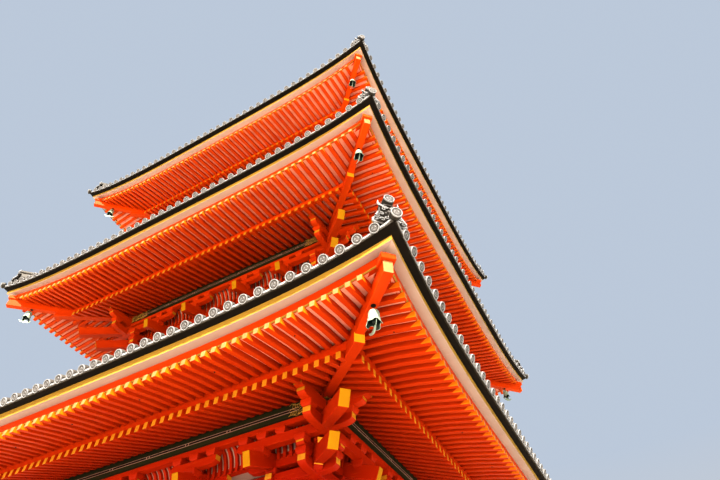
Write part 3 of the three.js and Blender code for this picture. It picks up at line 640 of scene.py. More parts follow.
def rope(
    path: Sequence[Sequence[float]], radii: Sequence[float] | float, sides: int = 8, closed: bool = False
) -> Solid:
    """Sweep a round section along a path.

    Args:
        path: Points of the centre line.
        radii: Radius at each point, or one for all.
        sides: Number of facets round.
        closed: Whether the path joins its own start.

    Returns:
        Points and faces.
    """
    line = np.asarray(path, float)
    sizes = [radii] * len(line) if isinstance(radii, (int, float)) else radii
    ahead = np.roll(line, -1, 0) - np.roll(line, 1, 0)
    if not closed:
        ahead[0], ahead[-1] = line[1] - line[0], line[-1] - line[-2]
    rings = []
    for point, direction, radius in zip(line, ahead, sizes):
        forward = Vector(direction).normalized()
        guide = Vector((0, 0, 1)) if abs(forward.z) < 0.95 else Vector((0, 1, 0))
        aside = forward.cross(guide).normalized()
        above = aside.cross(forward)
        rings.append(
            [
                Vector(point) + radius * (math.cos(a) * aside + math.sin(a) * above)
                for a in np.arange(sides) * 2 * math.pi / sides
            ]
        )
    return loft(rings, closed)


def toward(place: Sequence[float], facing: Vector, up: Vector = Vector((0, 0, 1))) -> Matrix:
    """Make a matrix that puts local z along a direction.

    Args:
        place: Where the origin goes.
        facing: Direction of the local z axis.
        up: Direction that the local y axis leans to.

    Returns:
        The matrix.
    """
    z_axis = facing.normalized()
    x_axis = up.cross(z_axis).normalized()
    y_axis = z_axis.cross(x_axis)
    turn = Matrix((x_axis, y_axis, z_axis)).transposed().to_4x4()
    return Matrix.Translation(Vector(place)) @ turn


def round_plan(section: Callable[[float], Sequence[Point]], steps: int = 40) -> Solid:
    """Run a section that changes on its way round all four sides of the plan.

    Args:
        section: Function from a station, -1 to 1 along the front side, to the section's points there.
        steps: Stations along each side, closer together near the corners.

    Returns:
        Points and faces.
    """
    stations = np.sin(np.linspace(-math.pi / 2, math.pi / 2, steps + 1))[:-1]
    rings = []
    for turn in range(4):
        rotation = Matrix.Rotation(math.pi / 2 * turn, 3, "Z")
        rings += [[rotation @ Vector(point) for point in section(station)] for station in stations]
    return loft(rings, closed=True)


@dataclass
class Storey:
    """Driving sizes of one storey, read from the frame."""

    number: int
    sag: float
    base: float
    column_radius: float
    half: float = field(init=False)
    tip: float = field(init=False)

    OVERHANG = 3.63
    BELL_INSET = 0.59
    BELL_DROP = 0.548
    INNER_COLUMN_SHARE = 0.385
    PURLIN_INSET = 2.44

    def __post_init__(self) -> None:
        """Read the roof's half width and tip height from the near bell's joint."""
        name = f"bell_{self.number}_front_right_swing"
        joint = next(joint for joint in frame["joints"] if joint["name"] == name)
        self.half = joint["pos_m"][0] + self.BELL_INSET
        self.tip = joint["pos_m"][2] + self.BELL_DROP

    @property
    def column_half(self) -> float:
        """Half distance between the corner columns."""
        return self.half - self.OVERHANG

    @property
    def columns(self) -> list[float]:
        """Places of the four columns along a side."""
        outer = self.column_half
        inner = outer * self.INNER_COLUMN_SHARE
        return [-outer, -inner, inner, outer]

    def front(
        self, x: float, inset: float, height: float, sag_share: float = 0.0, bow_share: float = 0.0
    ) -> Point:
        """Place a point on the front side.

        Args:
            x: Distance to the right of the side's middle.
            inset: Distance inside the line between the board tips.
            height: Height above the tips.
            sag_share: Share of the eave's dip that the point follows.
            bow_share: Share of the eave's draw that the point follows.

        Returns:
            The point in the frame, in metres.
        """
        half = self.half - inset
        reach = min(1.0, abs(x / half))
        draw = SIDE_BOW * (1 - reach**BOW_POWER) * bow_share
        dip = self.sag * (1 - reach**SAG_POWER) * sag_share
        return (x, -(half - draw), self.tip + height - dip)

    def ring(self, section: Sequence[tuple[float, float, float, float]]) -> Solid:
        """Run a section round all four sides with mitred corners.

        Args:
            section: Inset, height, sag share and bow share of each point of the section.

        Returns:
            Points and faces.
        """
        return round_plan(
            lambda station: [self.front(station * (self.half - row[0]), *row) for row in section]
        )


@dataclass
class Eaves:
    """Eave boards, two tiers of rafters and the corner rafters of one storey."""

    storey: Storey
    pitch: float = 0.184
    last_inset: float = 0.572
    flying_width: float = 0.080
    flying_depth: float = 0.100
    flying_end: float = 0.145
    # How far the painted sunlit wedge on the flying rafters' sides reaches behind their ends, at the top and
    # at the bottom
    wrap: Pair = (0.05, 0.17)
    base_width: float = 0.084
    base_depth: float = 0.118
    base_end: float = 1.225
    edge_depth: float = 0.085
    board_inset: float = 0.175
    board_drop: float = 0.057
    low_share: float = 1.19
    flying_top: float = 0.22
    middle_inset: float = 1.28
    middle_share: float = 0.21
    middle_upper: float = 0.207
    middle_lower: float = 0.437
    purlin_board: float = 0.07
    base_slope: float = 0.3
    flying_tail: float = 0.12
    base_tail: float = 0.05
    corner_gap: float = 0.02
    plank: float = 0.02
    seam: float = 0.001
    tuck: float = 0.002

    def rafter_places(self) -> list[float]:
        """Return the rafters' places along a side, even or odd in number so that the last one fits."""
        last = self.storey.half - self.last_inset
        doubled = round(2 * last / self.pitch)
        return [self.pitch / 2 * step for step in range(-doubled, doubled + 1, 2)]

    def upper_plane(self, x: float, inset: float) -> Point:
        """Place a point on the upper plane of the flying rafters."""
        share = (inset - self.board_inset) / (self.middle_inset - self.board_inset)
        share = max(0.0, share)
        height = -self.flying_top + (self.flying_top - self.middle_upper) * share
        sag = self.low_share + (self.middle_share - self.low_share) * min(1.0, share)
        return self.storey.front(x, inset, height, sag, 1 - min(1.0, share))

    def lower_plane(self, x: float, inset: float) -> Point:
        """Place a point on the upper plane of the base rafters."""
        purlin = self.storey.PURLIN_INSET
        share = (inset - self.middle_inset) / (purlin - self.middle_inset)
        if share > 1:
            height = -self.purlin_board + self.base_slope * (inset - purlin)
            return self.storey.front(x, inset, height)
        height = -self.middle_lower + (self.middle_lower - self.purlin_board) * share
        return self.storey.front(x, inset, height, self.middle_share * (1 - share))

    def rafter(
        self,
        x: float,
        insets: Sequence[float],
        plane: Callable[[float, float], Point],
        size: Pair,
        end: Finish,
    ) -> Form:
        """Make one rafter of the front side.

        Args:
            x: Its place along the side.
            insets: Stations from its outer end inwards.
            plane: Function that places its upper plane.
            size: Its width and depth.
            end: Finish of its end face.

        Returns:
            The rafter.
        """
        width, depth = size
        rings = []
        stations = [(inset, inset) for inset in insets]
        # Ends with the paler sunlit copy of the end paint also get a painted sunlit wedge on their sides,
        # from the end face back to a slanted ring
        if end is END_SUNLIT:
            stations.insert(1, (insets[0] + self.wrap[0], insets[0] + self.wrap[1]))
        for top, bottom in stations:
            _, y, z = plane(x, top)
            _, low_y, low_z = plane(x, bottom)
            left, right, low_z = x - width / 2, x + width / 2, low_z - depth
            rings.append([(left, y, z), (right, y, z), (right, low_y, low_z), (left, low_y, low_z)])
        points, faces = loft(rings)
        finishes = [VERMILION] * (len(faces) - 2) + [end, VERMILION]
        # Both side faces of that first segment take the painted sunlit wedge
        if end is END_SUNLIT:
            finishes[1] = finishes[3] = END_SUN_WEDGE
        return Form().add(points, faces, finishes, ALONG_Y)

    def flying_rafters(self) -> Form:
        """Return the outer tier of rafters of all sides."""
        side = Form()
        for x in self.rafter_places():
            stop = min(self.middle_inset + self.flying_tail, self.storey.half - abs(x) - self.corner_gap)
            insets = [self.flying_end, (self.flying_end + stop) / 2, stop]
            size = (self.flying_width, self.flying_depth)
            side.merge(self.rafter(x, insets, self.upper_plane, size, END_SUNLIT))
        return side.on_four_sides()

    def base_rafters(self) -> Form:
        """Return the inner tier of rafters of all sides, from their ochre ends to the wall."""
        side = Form()
        wall = self.storey.OVERHANG + self.base_tail
        for x in self.rafter_places():
            stop = min(wall, self.storey.half - abs(x) - self.corner_gap)
            if stop < self.base_end + 0.1:
                continue
            purlin = self.storey.PURLIN_INSET
            insets = [self.base_end, stop] if stop < purlin else [self.base_end, purlin, stop]
            size = (self.base_width, self.base_depth)
            side.merge(self.rafter(x, insets, self.lower_plane, size, END_OCHRE))
        return side.on_four_sides()

    def boards(self) -> Form:
        """Return the edge board with its yellow face and the chalk boards above both tiers of rafters."""
        form = Form()
        low, share = self.low_share, self.middle_share
        back = self.board_inset + 0.03
        edge = [
            (0.0, -self.tuck, 1.0, 1.0),
            (0.0, -self.edge_depth, low, 1.0),
            (back, -self.board_drop, low, 1.0),
            (back, -self.tuck, 1.0, 1.0),
        ]
        points, faces = self.storey.ring(edge)
        finishes = [END_YELLOW, CHALK_BOARD, CHALK_BOARD, AGED_CYPRESS] * (len(faces) // 4)
        form.add(points, faces, finishes)
        front, back = self.board_inset + 0.04, self.middle_inset + 0.1
        upper = [
            (front, -self.flying_top + self.seam, low, 1.0),
            (back, -self.middle_upper + self.seam, share, 0.0),
            (back, -self.middle_upper + self.plank, share, 0.0),
            (front, -self.flying_top + self.plank, low, 1.0),
        ]
        form.add(*self.storey.ring(upper), CHALK_SOFFIT)
        purlin, wall = self.storey.PURLIN_INSET, self.storey.OVERHANG + 0.06
        start = self.base_end + 0.11
        slope = (self.middle_lower - self.purlin_board) / (purlin - self.middle_inset)
        heights = [
            (start, -self.middle_lower + slope * (start - self.middle_inset), share),
            (purlin, -self.purlin_board, 0.0),
            (wall, -self.purlin_board + self.base_slope * (wall - purlin), 0.0),
        ]
        lower = [(inset, height + self.seam, sag, 0.0) for inset, height, sag in heights]
        lower += [(inset, height + self.plank, sag, 0.0) for inset, height, sag in reversed(heights)]
        return form.add(*self.storey.ring(lower), CHALK_SOFFIT)

    def beams(self) -> Form:
        """Return the fascia over the flying rafters, its thin yellow lip and the beam between the tiers."""
        form = Form()
        inset, back, low = self.board_inset, self.board_inset + 0.11, self.low_share
        top = -self.board_drop + 0.004
        fascia = [
            (inset, top, low, 1.0),
            (inset, -self.flying_top, low, 1.0),
            (back, -self.flying_top, low - 0.09, 0.91),
            (back, top, low - 0.09, 0.91),
        ]
        form.add(*self.storey.ring(fascia), VERMILION)
        lip = [(-0.007, 0.012), (-0.007, -0.004), (0.02, -0.004), (0.02, 0.012)]
        lip_ring = self.storey.ring([(inset + out, -self.flying_top + up, low, 1.0) for out, up in lip])
        form.add(*lip_ring, END_YELLOW)
        front = self.base_end + 0.04
        top = -self.middle_upper - self.flying_depth + 0.03
        corners = [
            (front, top),
            (front, -self.middle_lower),
            (front + 0.12, -self.middle_lower),
            (front + 0.12, top),
        ]
        middle = self.storey.ring([(place, height, self.middle_share, 0.0) for place, height in corners])
        return form.add(*middle, VERMILION)

    def nails(self) -> Form:
        """Return the iron nail heads left here and there under the flying rafters."""
        side = Form()
        head = Form().add(*turned([(0, 0), (0.014, 0), (0.011, 0.007), (0, 0.009)], 12), FORGED_IRON)
        places = self.rafter_places()
        for number, x in enumerate(places[4:-3:8]):
            spot = Vector(self.upper_plane(x, 0.6 + 0.03 * (number % 3))) - Vector((0, 0, self.flying_depth))
            side.merge(head, toward(spot, Vector((0, 0, -1)), Vector((0, 1, 0))))
        return side.on_four_sides()

    def build(self) -> None:
        """Make the pieces of the eaves."""
        self.nails().to_piece(f"rafter_nails_{self.storey.number}")
        number = self.storey.number
        boards = self.boards().to_piece(f"eave_boards_{number}")
        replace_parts(boards, f"eaves_{number}")
        self.beams().to_piece(f"eave_beams_{number}")
        self.flying_rafters().to_piece(f"flying_rafters_{number}", bevel=0.004)
        self.base_rafters().to_piece(f"base_rafters_{number}", bevel=0.004)
        CornerRafters(self.storey, self).build()


@dataclass
class CornerRafters:
    """The two corner rafters at each corner, with the cap over the upper one and the bell's hook."""

    storey: Storey
    eaves: Eaves
    flying_width: float = 0.135
    flying_end: float = 0.14
    flying_end_bottom: float = 0.505
    base_width: float = 0.16
    base_end: float = 1.033
    base_end_bottom: float = 0.617
    base_end_top: float = 0.44
    cap_width: float = 0.205

    def diagonal(self, outline: Outline, width: float, end: Finish | None) -> Form:
        """Make a bar in the front-right corner's upright diagonal plane.

        Args:
            outline: Inset and height of each point, starting with the two points of the end face.
            width: Width across the diagonal.
            end: Finish of the end face, or None for plain vermilion.

        Returns:
            The bar.
        """
        half, tip = self.storey.half, self.storey.tip
        points, faces = slab([((half - inset) * ROOT_2, tip + height) for inset, height in outline], width)
        finishes = [VERMILION] * len(faces)
        finishes[0] = end or VERMILION
        return Form().merge(Form().add(points, faces, finishes), TO_CORNER)

    def bars(self) -> Form:
        """Return the corner rafters and caps of all corners."""
        eaves = self.eaves
        inner = eaves.middle_inset + 0.3
        upper = [
            (self.flying_end, -self.flying_end_bottom),
            (self.flying_end, -0.285),
            (inner, -eaves.middle_upper + 0.02),
            (inner, -eaves.middle_lower - 0.01),
        ]
        # The upper corner rafter's end takes the paler sunlit copy of the end paint: painted light
        corner = self.diagonal(upper, self.flying_width, END_SUNLIT)
        nose = self.flying_end - 0.03
        cap = [(nose, -0.285), (nose, -0.185), (0.42, -0.15), (0.42, -0.235), (0.3, -0.24), (0.24, -0.285)]
        corner.merge(self.diagonal(cap, self.cap_width, None))
        purlin, wall = self.storey.PURLIN_INSET, self.storey.OVERHANG
        rise = eaves.base_slope * (wall - purlin)
        lower = [
            (self.base_end, -self.base_end_bottom),
            (self.base_end, -self.base_end_top),
            (purlin, -eaves.purlin_board + 0.01),
            (wall, -eaves.purlin_board + rise),
            (wall, -0.33 + rise),
            (purlin + 0.1, -0.25),
        ]
        corner.merge(self.diagonal(lower, self.base_width, END_OCHRE_BRIGHT))
        return corner.on_four_sides()

    def hooks(self) -> Form:
        """Return the iron plates and hooks that carry the bells."""
        half = self.storey.half - self.storey.BELL_INSET
        pivot = self.storey.tip - self.storey.BELL_DROP
        plate = turned([(0, 0), (0.034, 0), (0.034, 0.012), (0, 0.012)], 20)
        hook = Form().merge(Form().add(*plate, FORGED_IRON), shift(z=0.055))
        loop = [
            (0.012 * math.sin(angle), 0.0, -0.001 + 0.012 * math.cos(angle))
            for angle in np.linspace(0.5, 2 * math.pi - 0.4, 12)
        ]
        hook.add(*rope([(0, 0, 0.06), (0.002, 0, 0.035), (0.005, 0, 0.02), *loop], 0.0045, 8), FORGED_IRON)
        place = TO_CORNER @ shift(half * ROOT_2, 0, pivot)
        return Form().merge(hook, place).on_four_sides()

    def build(self) -> None:
        """Make the pieces."""
        number = self.storey.number
        self.bars().to_piece(f"corner_rafters_{number}", bevel=0.006)
        self.hooks().to_piece(f"bell_hooks_{number}")


@dataclass
class TileRoof:
    """Tiles of one roof: pan and cover rows, eave discs, hip ridges and the boards under the lip."""

    storey: Storey
    top_z: float
    top_half: float
    pitch: float = 0.2648
    corner_inset: float = 0.174
    lip: float = 0.125
    lip_height: float = 0.045
    corner_rise: float = 0.09
    course: float = 0.30
    cover_radius: float = 0.076
    disc_radius: float = 0.078
    disc_out: float = 0.167
    disc_height: float = 0.076
    hip_end_rise: float = 0.8
    disc_tilt: float = 26.0
    cover_bed: float = 0.012
    cover_arch: float = 1.12
    cover_taper: float = 0.011
    pan_step: float = 0.022
    pan_dish: float = 0.03
    pan_depth: float = 0.035
    disc_back: float = 0.10
    disc_sides: int = 16
    ridge_start: float = 0.035
    ridge_layers: int = 6
    ridge_layer: float = 0.037
    ridge_top: float = 0.27

    @property
    def lip_half(self) -> float:
        """Half width of the roof at the lip of its pan tiles."""
        return self.storey.half + self.lip

    def half_at(self, share: float) -> float:
        """Return the slope's half width at a share of the way from the lip to the top."""
        return self.lip_half + (self.top_half - self.lip_half) * share

    def slope(self, x: float, share: float, lift: float = 0.0) -> Point:
        """Place a point on the front slope.

        Args:
            x: Distance to the right of the slope's middle.
            share: 0 at the lip, 1 at the top.
            lift: Height above the pan tiles.

        Returns:
            The point.
        """
        half = self.half_at(share)
        reach = min(1.0, abs(x) / half)
        low = self.storey.tip + self.lip_height
        rise = (self.top_z - low) * (0.68 * share + 0.32 * share**2)
        fade = max(0.0, 1 - share) ** 1.6
        dip = self.storey.sag * (1 - reach**SAG_POWER) * fade
        kick = self.corner_rise * max(0.0, (reach - 0.75) / 0.25) ** 2 * fade
        draw = SIDE_BOW * (1 - reach**BOW_POWER) * (1 - share)
        return (x, -(half - draw), low + rise - dip + kick + lift)

    def rows(self) -> list[float]:
        """Return the places of the cover tile rows along a side."""
        count = int((self.storey.half - self.corner_inset + 0.01) / self.pitch)
        return [self.pitch * step for step in range(-count, count + 1)]

    def shares(self, x: float, spare: float) -> list[float]:
        """Return where the courses of a row start, from the lip up to the hip or the top."""
        span = self.lip_half - self.top_half
        stop = min(1.0, (self.lip_half - abs(x) - spare) / span)
        drop = self.top_z - self.storey.tip - self.lip_height
        length = stop * math.hypot(span, drop)
        count = max(1, round(length / self.course))
        return [stop * step / count for step in range(count + 1)]

    def cover_row(self, x: float) -> Form:
        """Make one row of half-round cover tiles, each tucked under the next one up."""
        angles = np.linspace(0, math.pi, 6)
        rings = []
        shares = self.shares(x, 0.12)
        for low, high in zip(shares, shares[1:]):
            for share, radius in ((low, self.cover_radius), (high, self.cover_radius - self.cover_taper)):
                _, y, z = self.slope(x, share, 0.0)
                base, tall = z + self.cover_bed, self.cover_arch * radius
                rings.append([(x + radius * math.cos(a), y, base + tall * math.sin(a)) for a in angles])
        return Form().add(*loft(rings), SMOKED_TILE, ALONG_Y)

    def pan_row(self, x: float) -> Form:
        """Make one row of pan tiles between two cover rows, with its curved lip at the eave."""
        half = self.pitch / 2
        across = np.linspace(-half, half, 4)
        shares = self.shares(x, 0.05)
        rings = []
        for low, high in zip(shares, shares[1:]):
            for share, raised in ((low, self.pan_step), (high, 0.0)):
                base = raised - 0.004
                dish = [self.slope(x + u, share, base + self.pan_dish * (u / half) ** 2) for u in across]
                rings.append(dish + [self.slope(x + u, share, -self.pan_depth) for u in (half, -half)])
        form = Form().add(*loft(rings), SMOKED_TILE, ALONG_Y)
        lip = []
        for u in np.linspace(-half * 0.98, half * 0.98, 5):
            _, y, z = self.slope(x + u, 0.0)
            z += 0.035 * (u / half) ** 2
            section = ((0.05, 0.02), (-0.012, 0.02), (-0.012, -0.018), (0.05, -0.018))
            lip.append([(x + u, y + back, z + up) for back, up in section])
        return form.add(*loft(lip), RAINED_TILE)

    def disc(self) -> Form:
        """Make one round eave tile end facing local z: rim, ring and three commas round its middle."""
        r, back, sides = self.disc_radius, -self.disc_back, self.disc_sides
        rim = [(0, back), (r - 0.004, back), (r, -0.018), (r - 0.003, 0), (r - 0.014, 0)]
        hollow = [(r - 0.017, -0.009), (r - 0.024, -0.009), (r - 0.027, -0.005), (0, -0.004)]
        bands = [SMOKED_TILE] + [RAINED_TILE] * 3 + [HOLLOW_TILE_DARK] * 2 + [SMOKED_TILE, GREY_TILE]
        form = Form().add(*turned(rim + hollow, sides), [finish for finish in bands for _ in range(sides)])
        return form.merge(self.commas(r - 0.038), shift(z=-0.005))

    @staticmethod
    def commas(radius: float) -> Form:
        """Make three raised commas that chase each other round a circle."""
        form = Form()
        for turn in range(3):
            start = turn * 2 * math.pi / 3
            rings = []
            for step, width in ((0.0, 0.30), (0.35, 0.42), (0.8, 0.30), (1.3, 0.16), (1.9, 0.03)):
                middle, aside = radius * (0.55 + 0.2 * step), radius * width * 0.5
                section = ((middle - aside, 0.0), (middle, 0.005), (middle + aside, 0.0))
                rings.append([around(reach, start + step, height) for reach, height in section])
            form.add(*loft(rings), RAINED_TILE)
        return form

    def discs(self) -> Form:
        """Return the eave discs of all sides."""
        side = Form()
        disc = self.disc()
        tilt = math.radians(self.disc_tilt)
        facing = Vector((0, -math.cos(tilt), -math.sin(tilt)))
        for x in self.rows():
            _, y, z = self.slope(x, 0.0)
            place = (x, y - (self.disc_out - self.lip), z - self.lip_height + self.disc_height)
            side.merge(disc, toward(place, facing))
        return side.on_four_sides()

    def tiles(self) -> Form:
        """Return the cover and pan rows of all sides."""
        side = Form()
        rows = self.rows()
        for x in rows:
            side.merge(self.cover_row(x))
        for x in rows:
            side.merge(self.pan_row(x + self.pitch / 2))
        side.merge(self.pan_row(rows[0] - self.pitch / 2))
        return side.on_four_sides()

    def body(self) -> Form:
        """Return the dark boards under the tiles, closed from the eave's edge to the top."""
        return Form().add(*round_plan(self.body_section), AGED_CYPRESS)

    def body_section(self, station: float) -> list[Point]:
        """Return the boards' section at a station, -1 to 1 along the front side."""
        storey = self.storey
        section = [storey.front(station * storey.half, 0.0, 0.004, 1.0, 1.0)]
        for share in (0.0, 0.06, 0.2, 0.4, 0.6, 0.8, 1.0):
            lift = -0.045 if share else -0.02
            section.append(self.slope(station * self.half_at(share), share, lift))
        low, inner = self.top_half - 0.15, storey.half - 0.6
        ends = ((low, self.top_z - 0.05), (low, storey.tip + 0.30), (inner, storey.tip - 0.12))
        return section + [(station * half, -half, z) for half, z in ends]

    def hip(self, share: float, aside: float, lift: float) -> Vector:
        """Place a point over the front-right hip line."""
        half = self.half_at(share)
        _, _, z = self.slope(half, share)
        root = math.sqrt(0.5)
        grown = lift * (1 + self.hip_end_rise * max(0.0, 1 - share / 0.33) ** 1.5)
        return Vector((half + aside * root, -half + aside * root, z + grown))

    def ridges(self) -> Form:
        """Return the hip ridges: stacked flat tiles under one row of round tiles."""
        outline = [(-0.115, -0.02)]
        for layer in range(self.ridge_layers):
            low = 0.03 + layer * self.ridge_layer
            for wide, height in ((0.115, 0.0), (0.115, 0.025), (0.102, 0.027), (0.102, 0.037)):
                outline.append((-(wide - layer * 0.004), low + height))
        outline += [(-0.02, 0.262), (0.02, 0.262)] + [(-aside, lift) for aside, lift in reversed(outline)]
        shares = np.linspace(self.ridge_start, 1.0, 20)
        rings = [[self.hip(share, aside, lift) for aside, lift in outline] for share in shares]
        corner = Form().add(*loft(rings), SMOKED_TILE)
        angles = np.linspace(-0.5, math.pi + 0.5, 8)
        shares = np.linspace(self.ridge_start, 1.0, 40)
        rings = []
        for low, high in zip(shares, shares[1:]):
            for share, radius in ((low, 0.078), (high, 0.068)):
                section = [(radius * math.cos(a), self.ridge_top + radius * math.sin(a)) for a in angles]
                rings.append([self.hip(share, aside, lift) for aside, lift in section])
        corner.add(*loft(rings), SMOKED_TILE)
        return corner.on_four_sides()

    def curb(self) -> Form:
        """Return the stacked flat tiles where the slopes end under the storey above."""
        form = Form()
        low = self.top_z - 0.06
        for layer in range(4):
            half = self.top_half + 0.06 - 0.006 * layer
            bottom = low + layer * 0.05
            form.add(*square_tube(half, half - 0.2, bottom, bottom + 0.038), SMOKED_TILE)
        return form

    def build(self) -> None:
        """Make the pieces of the roof."""
        number = self.storey.number
        body = self.body().to_piece(f"roof_boards_{number}")
        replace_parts(body, f"roof_{number}")
        self.tiles().to_piece(f"roof_tiles_{number}", smooth_under=50)
        self.discs().to_piece(f"eave_discs_{number}")
        self.ridges().to_piece(f"hip_ridges_{number}")
        self.curb().to_piece(f"roof_curb_{number}")
        RidgeEnds(self).build()


@dataclass
class RidgeEnds:
    """Ornament at the lower end of each hip ridge: two round tile ends and a carved tile between them."""

    roof: TileRoof
    lower_out: float = 0.18
    lower_height: float = 0.171
    lower_tilt: float = 12.0
    upper_out: float = 0.047
    upper_height: float = 0.747
    radius: float = 0.083
    face: float = 0.03

    def build(self) -> None:
        """Make the ornaments of all corners."""
        corner = Form()
        disc = self.roof.disc()
        size = self.radius / self.roof.disc_radius
        grow = Matrix.Diagonal((size, size, 1.0, 1.0))
        half, tip = self.roof.storey.half, self.roof.storey.tip
        tilt = math.radians(self.lower_tilt)
        lower = ((half + self.lower_out) * ROOT_2, 0, tip + self.lower_height)
        corner.merge(disc, toward(lower, Vector((math.cos(tilt), 0, -math.sin(tilt)))) @ grow)
        upper = toward(((half + self.upper_out) * ROOT_2, 0, tip + self.upper_height), ALONG_X)
        corner.merge(disc, upper @ grow)
        barrel = [(0, -0.75), (self.radius * 0.86, -0.75), (self.radius * 0.98, -0.02), (0, -0.02)]
        corner.merge(Form().add(*turned(barrel, 18), SMOKED_TILE), upper)
        corner.merge(self.carved_tile(), shift((half - 0.02) * ROOT_2, 0, tip + 0.2))
        placed = Form().merge(corner, TO_CORNER).on_four_sides()
        placed.to_piece(f"ridge_ends_{self.roof.storey.number}")

    def carved_tile(self) -> Form:
        """Make the carved end tile in the plane across the ridge, its foot at the origin, facing +x."""
        upright = Matrix(((0, 1, 0, 0), (1, 0, 0, 0), (0, 0, 1, 0), (0, 0, 0, 1)))
        half_outline = [(0.0, 0.0), (0.15, 0.0), (0.225, 0.035), (0.215, 0.10), (0.175, 0.17), (0.145, 0.25)]
        half_outline += [(0.14, 0.34), (0.145, 0.40), (0.09, 0.42), (0.05, 0.45), (0.0, 0.46)]
        outline = half_outline + [(-x, z) for x, z in reversed(half_outline[1:-1])]
        form = Form().merge(Form().add(*slab(outline, 2 * self.face), HOLLOW_BLACK), upright)
        form.add(*rope([(self.face, x, z) for x, z in outline], 0.011, 6, closed=True), GREY_TILE)
        for y, z, size in ((0.0, 0.19, 0.03), (0.0, 0.30, 0.024), (0.05, 0.25, 0.018), (-0.05, 0.25, 0.018)):
            boss = [(0, -0.01), (size, -0.01), (size * 0.8, 0.012), (0, 0.02)]
            form.merge(Form().add(*turned(boss, 12), GREY_TILE), toward((self.face, y, z), ALONG_X))
        for sign in (-1, 1):
            self.carve_half(form, sign)
        return form

    def curl(self, radius: float, y: float, z: float, start: float, sign: int) -> list[Point]:
        """Return the line of one curl that winds inwards."""
        line = []
        for step in range(13):
            aside, up, _ = around(radius * (1 - step / 16), start + step * 0.55, 0.0)
            line.append((self.face + 0.010, sign * (y + aside), z + up))
        return line

    def carve_half(self, form: Form, sign: int) -> None:
        """Add the curls, horn, ribs and fin of one half of the carved tile, on the side of the sign."""
        face = self.face
        for radius, y, z, start in (
            (0.042, 0.105, 0.085, 0.0),
            (0.036, 0.085, 0.335, 1.2),
            (0.034, 0.048, 0.145, 2.4),
            (0.030, 0.110, 0.215, 0.6),
            (0.030, 0.042, 0.385, 3.4),
        ):
            line = self.curl(radius, y, z, start, sign)
            form.add(*rope(line, [0.012 - 0.0006 * step for step in range(13)], 6), RAINED_TILE)
        line = ((0.07, 0.40), (0.12, 0.42), (0.15, 0.47), (0.145, 0.55))
        horn = [(face - 0.01, sign * y, z) for y, z in line]
        form.add(*rope(horn, [0.024, 0.024, 0.017, 0.003], 8), RAINED_TILE)
        for step in range(5):
            outer = (face, sign * (0.212 - 0.017 * step), 0.055 + 0.05 * step)
            inner = (face + 0.006, sign * (0.165 - 0.012 * step), 0.075 + 0.045 * step)
            form.add(*rope([outer, inner], 0.009, 6), RAINED_TILE)
        edge = ((0.17, 0.01), (0.235, 0.03), (0.235, 0.09), (0.195, 0.17), (0.16, 0.25), (0.14, 0.33))
        fin = [(face - 0.01, sign * y, z) for y, z in edge]
        form.add(*rope(fin, [0.016, 0.020, 0.020, 0.018, 0.015, 0.010], 8), RAINED_TILE)


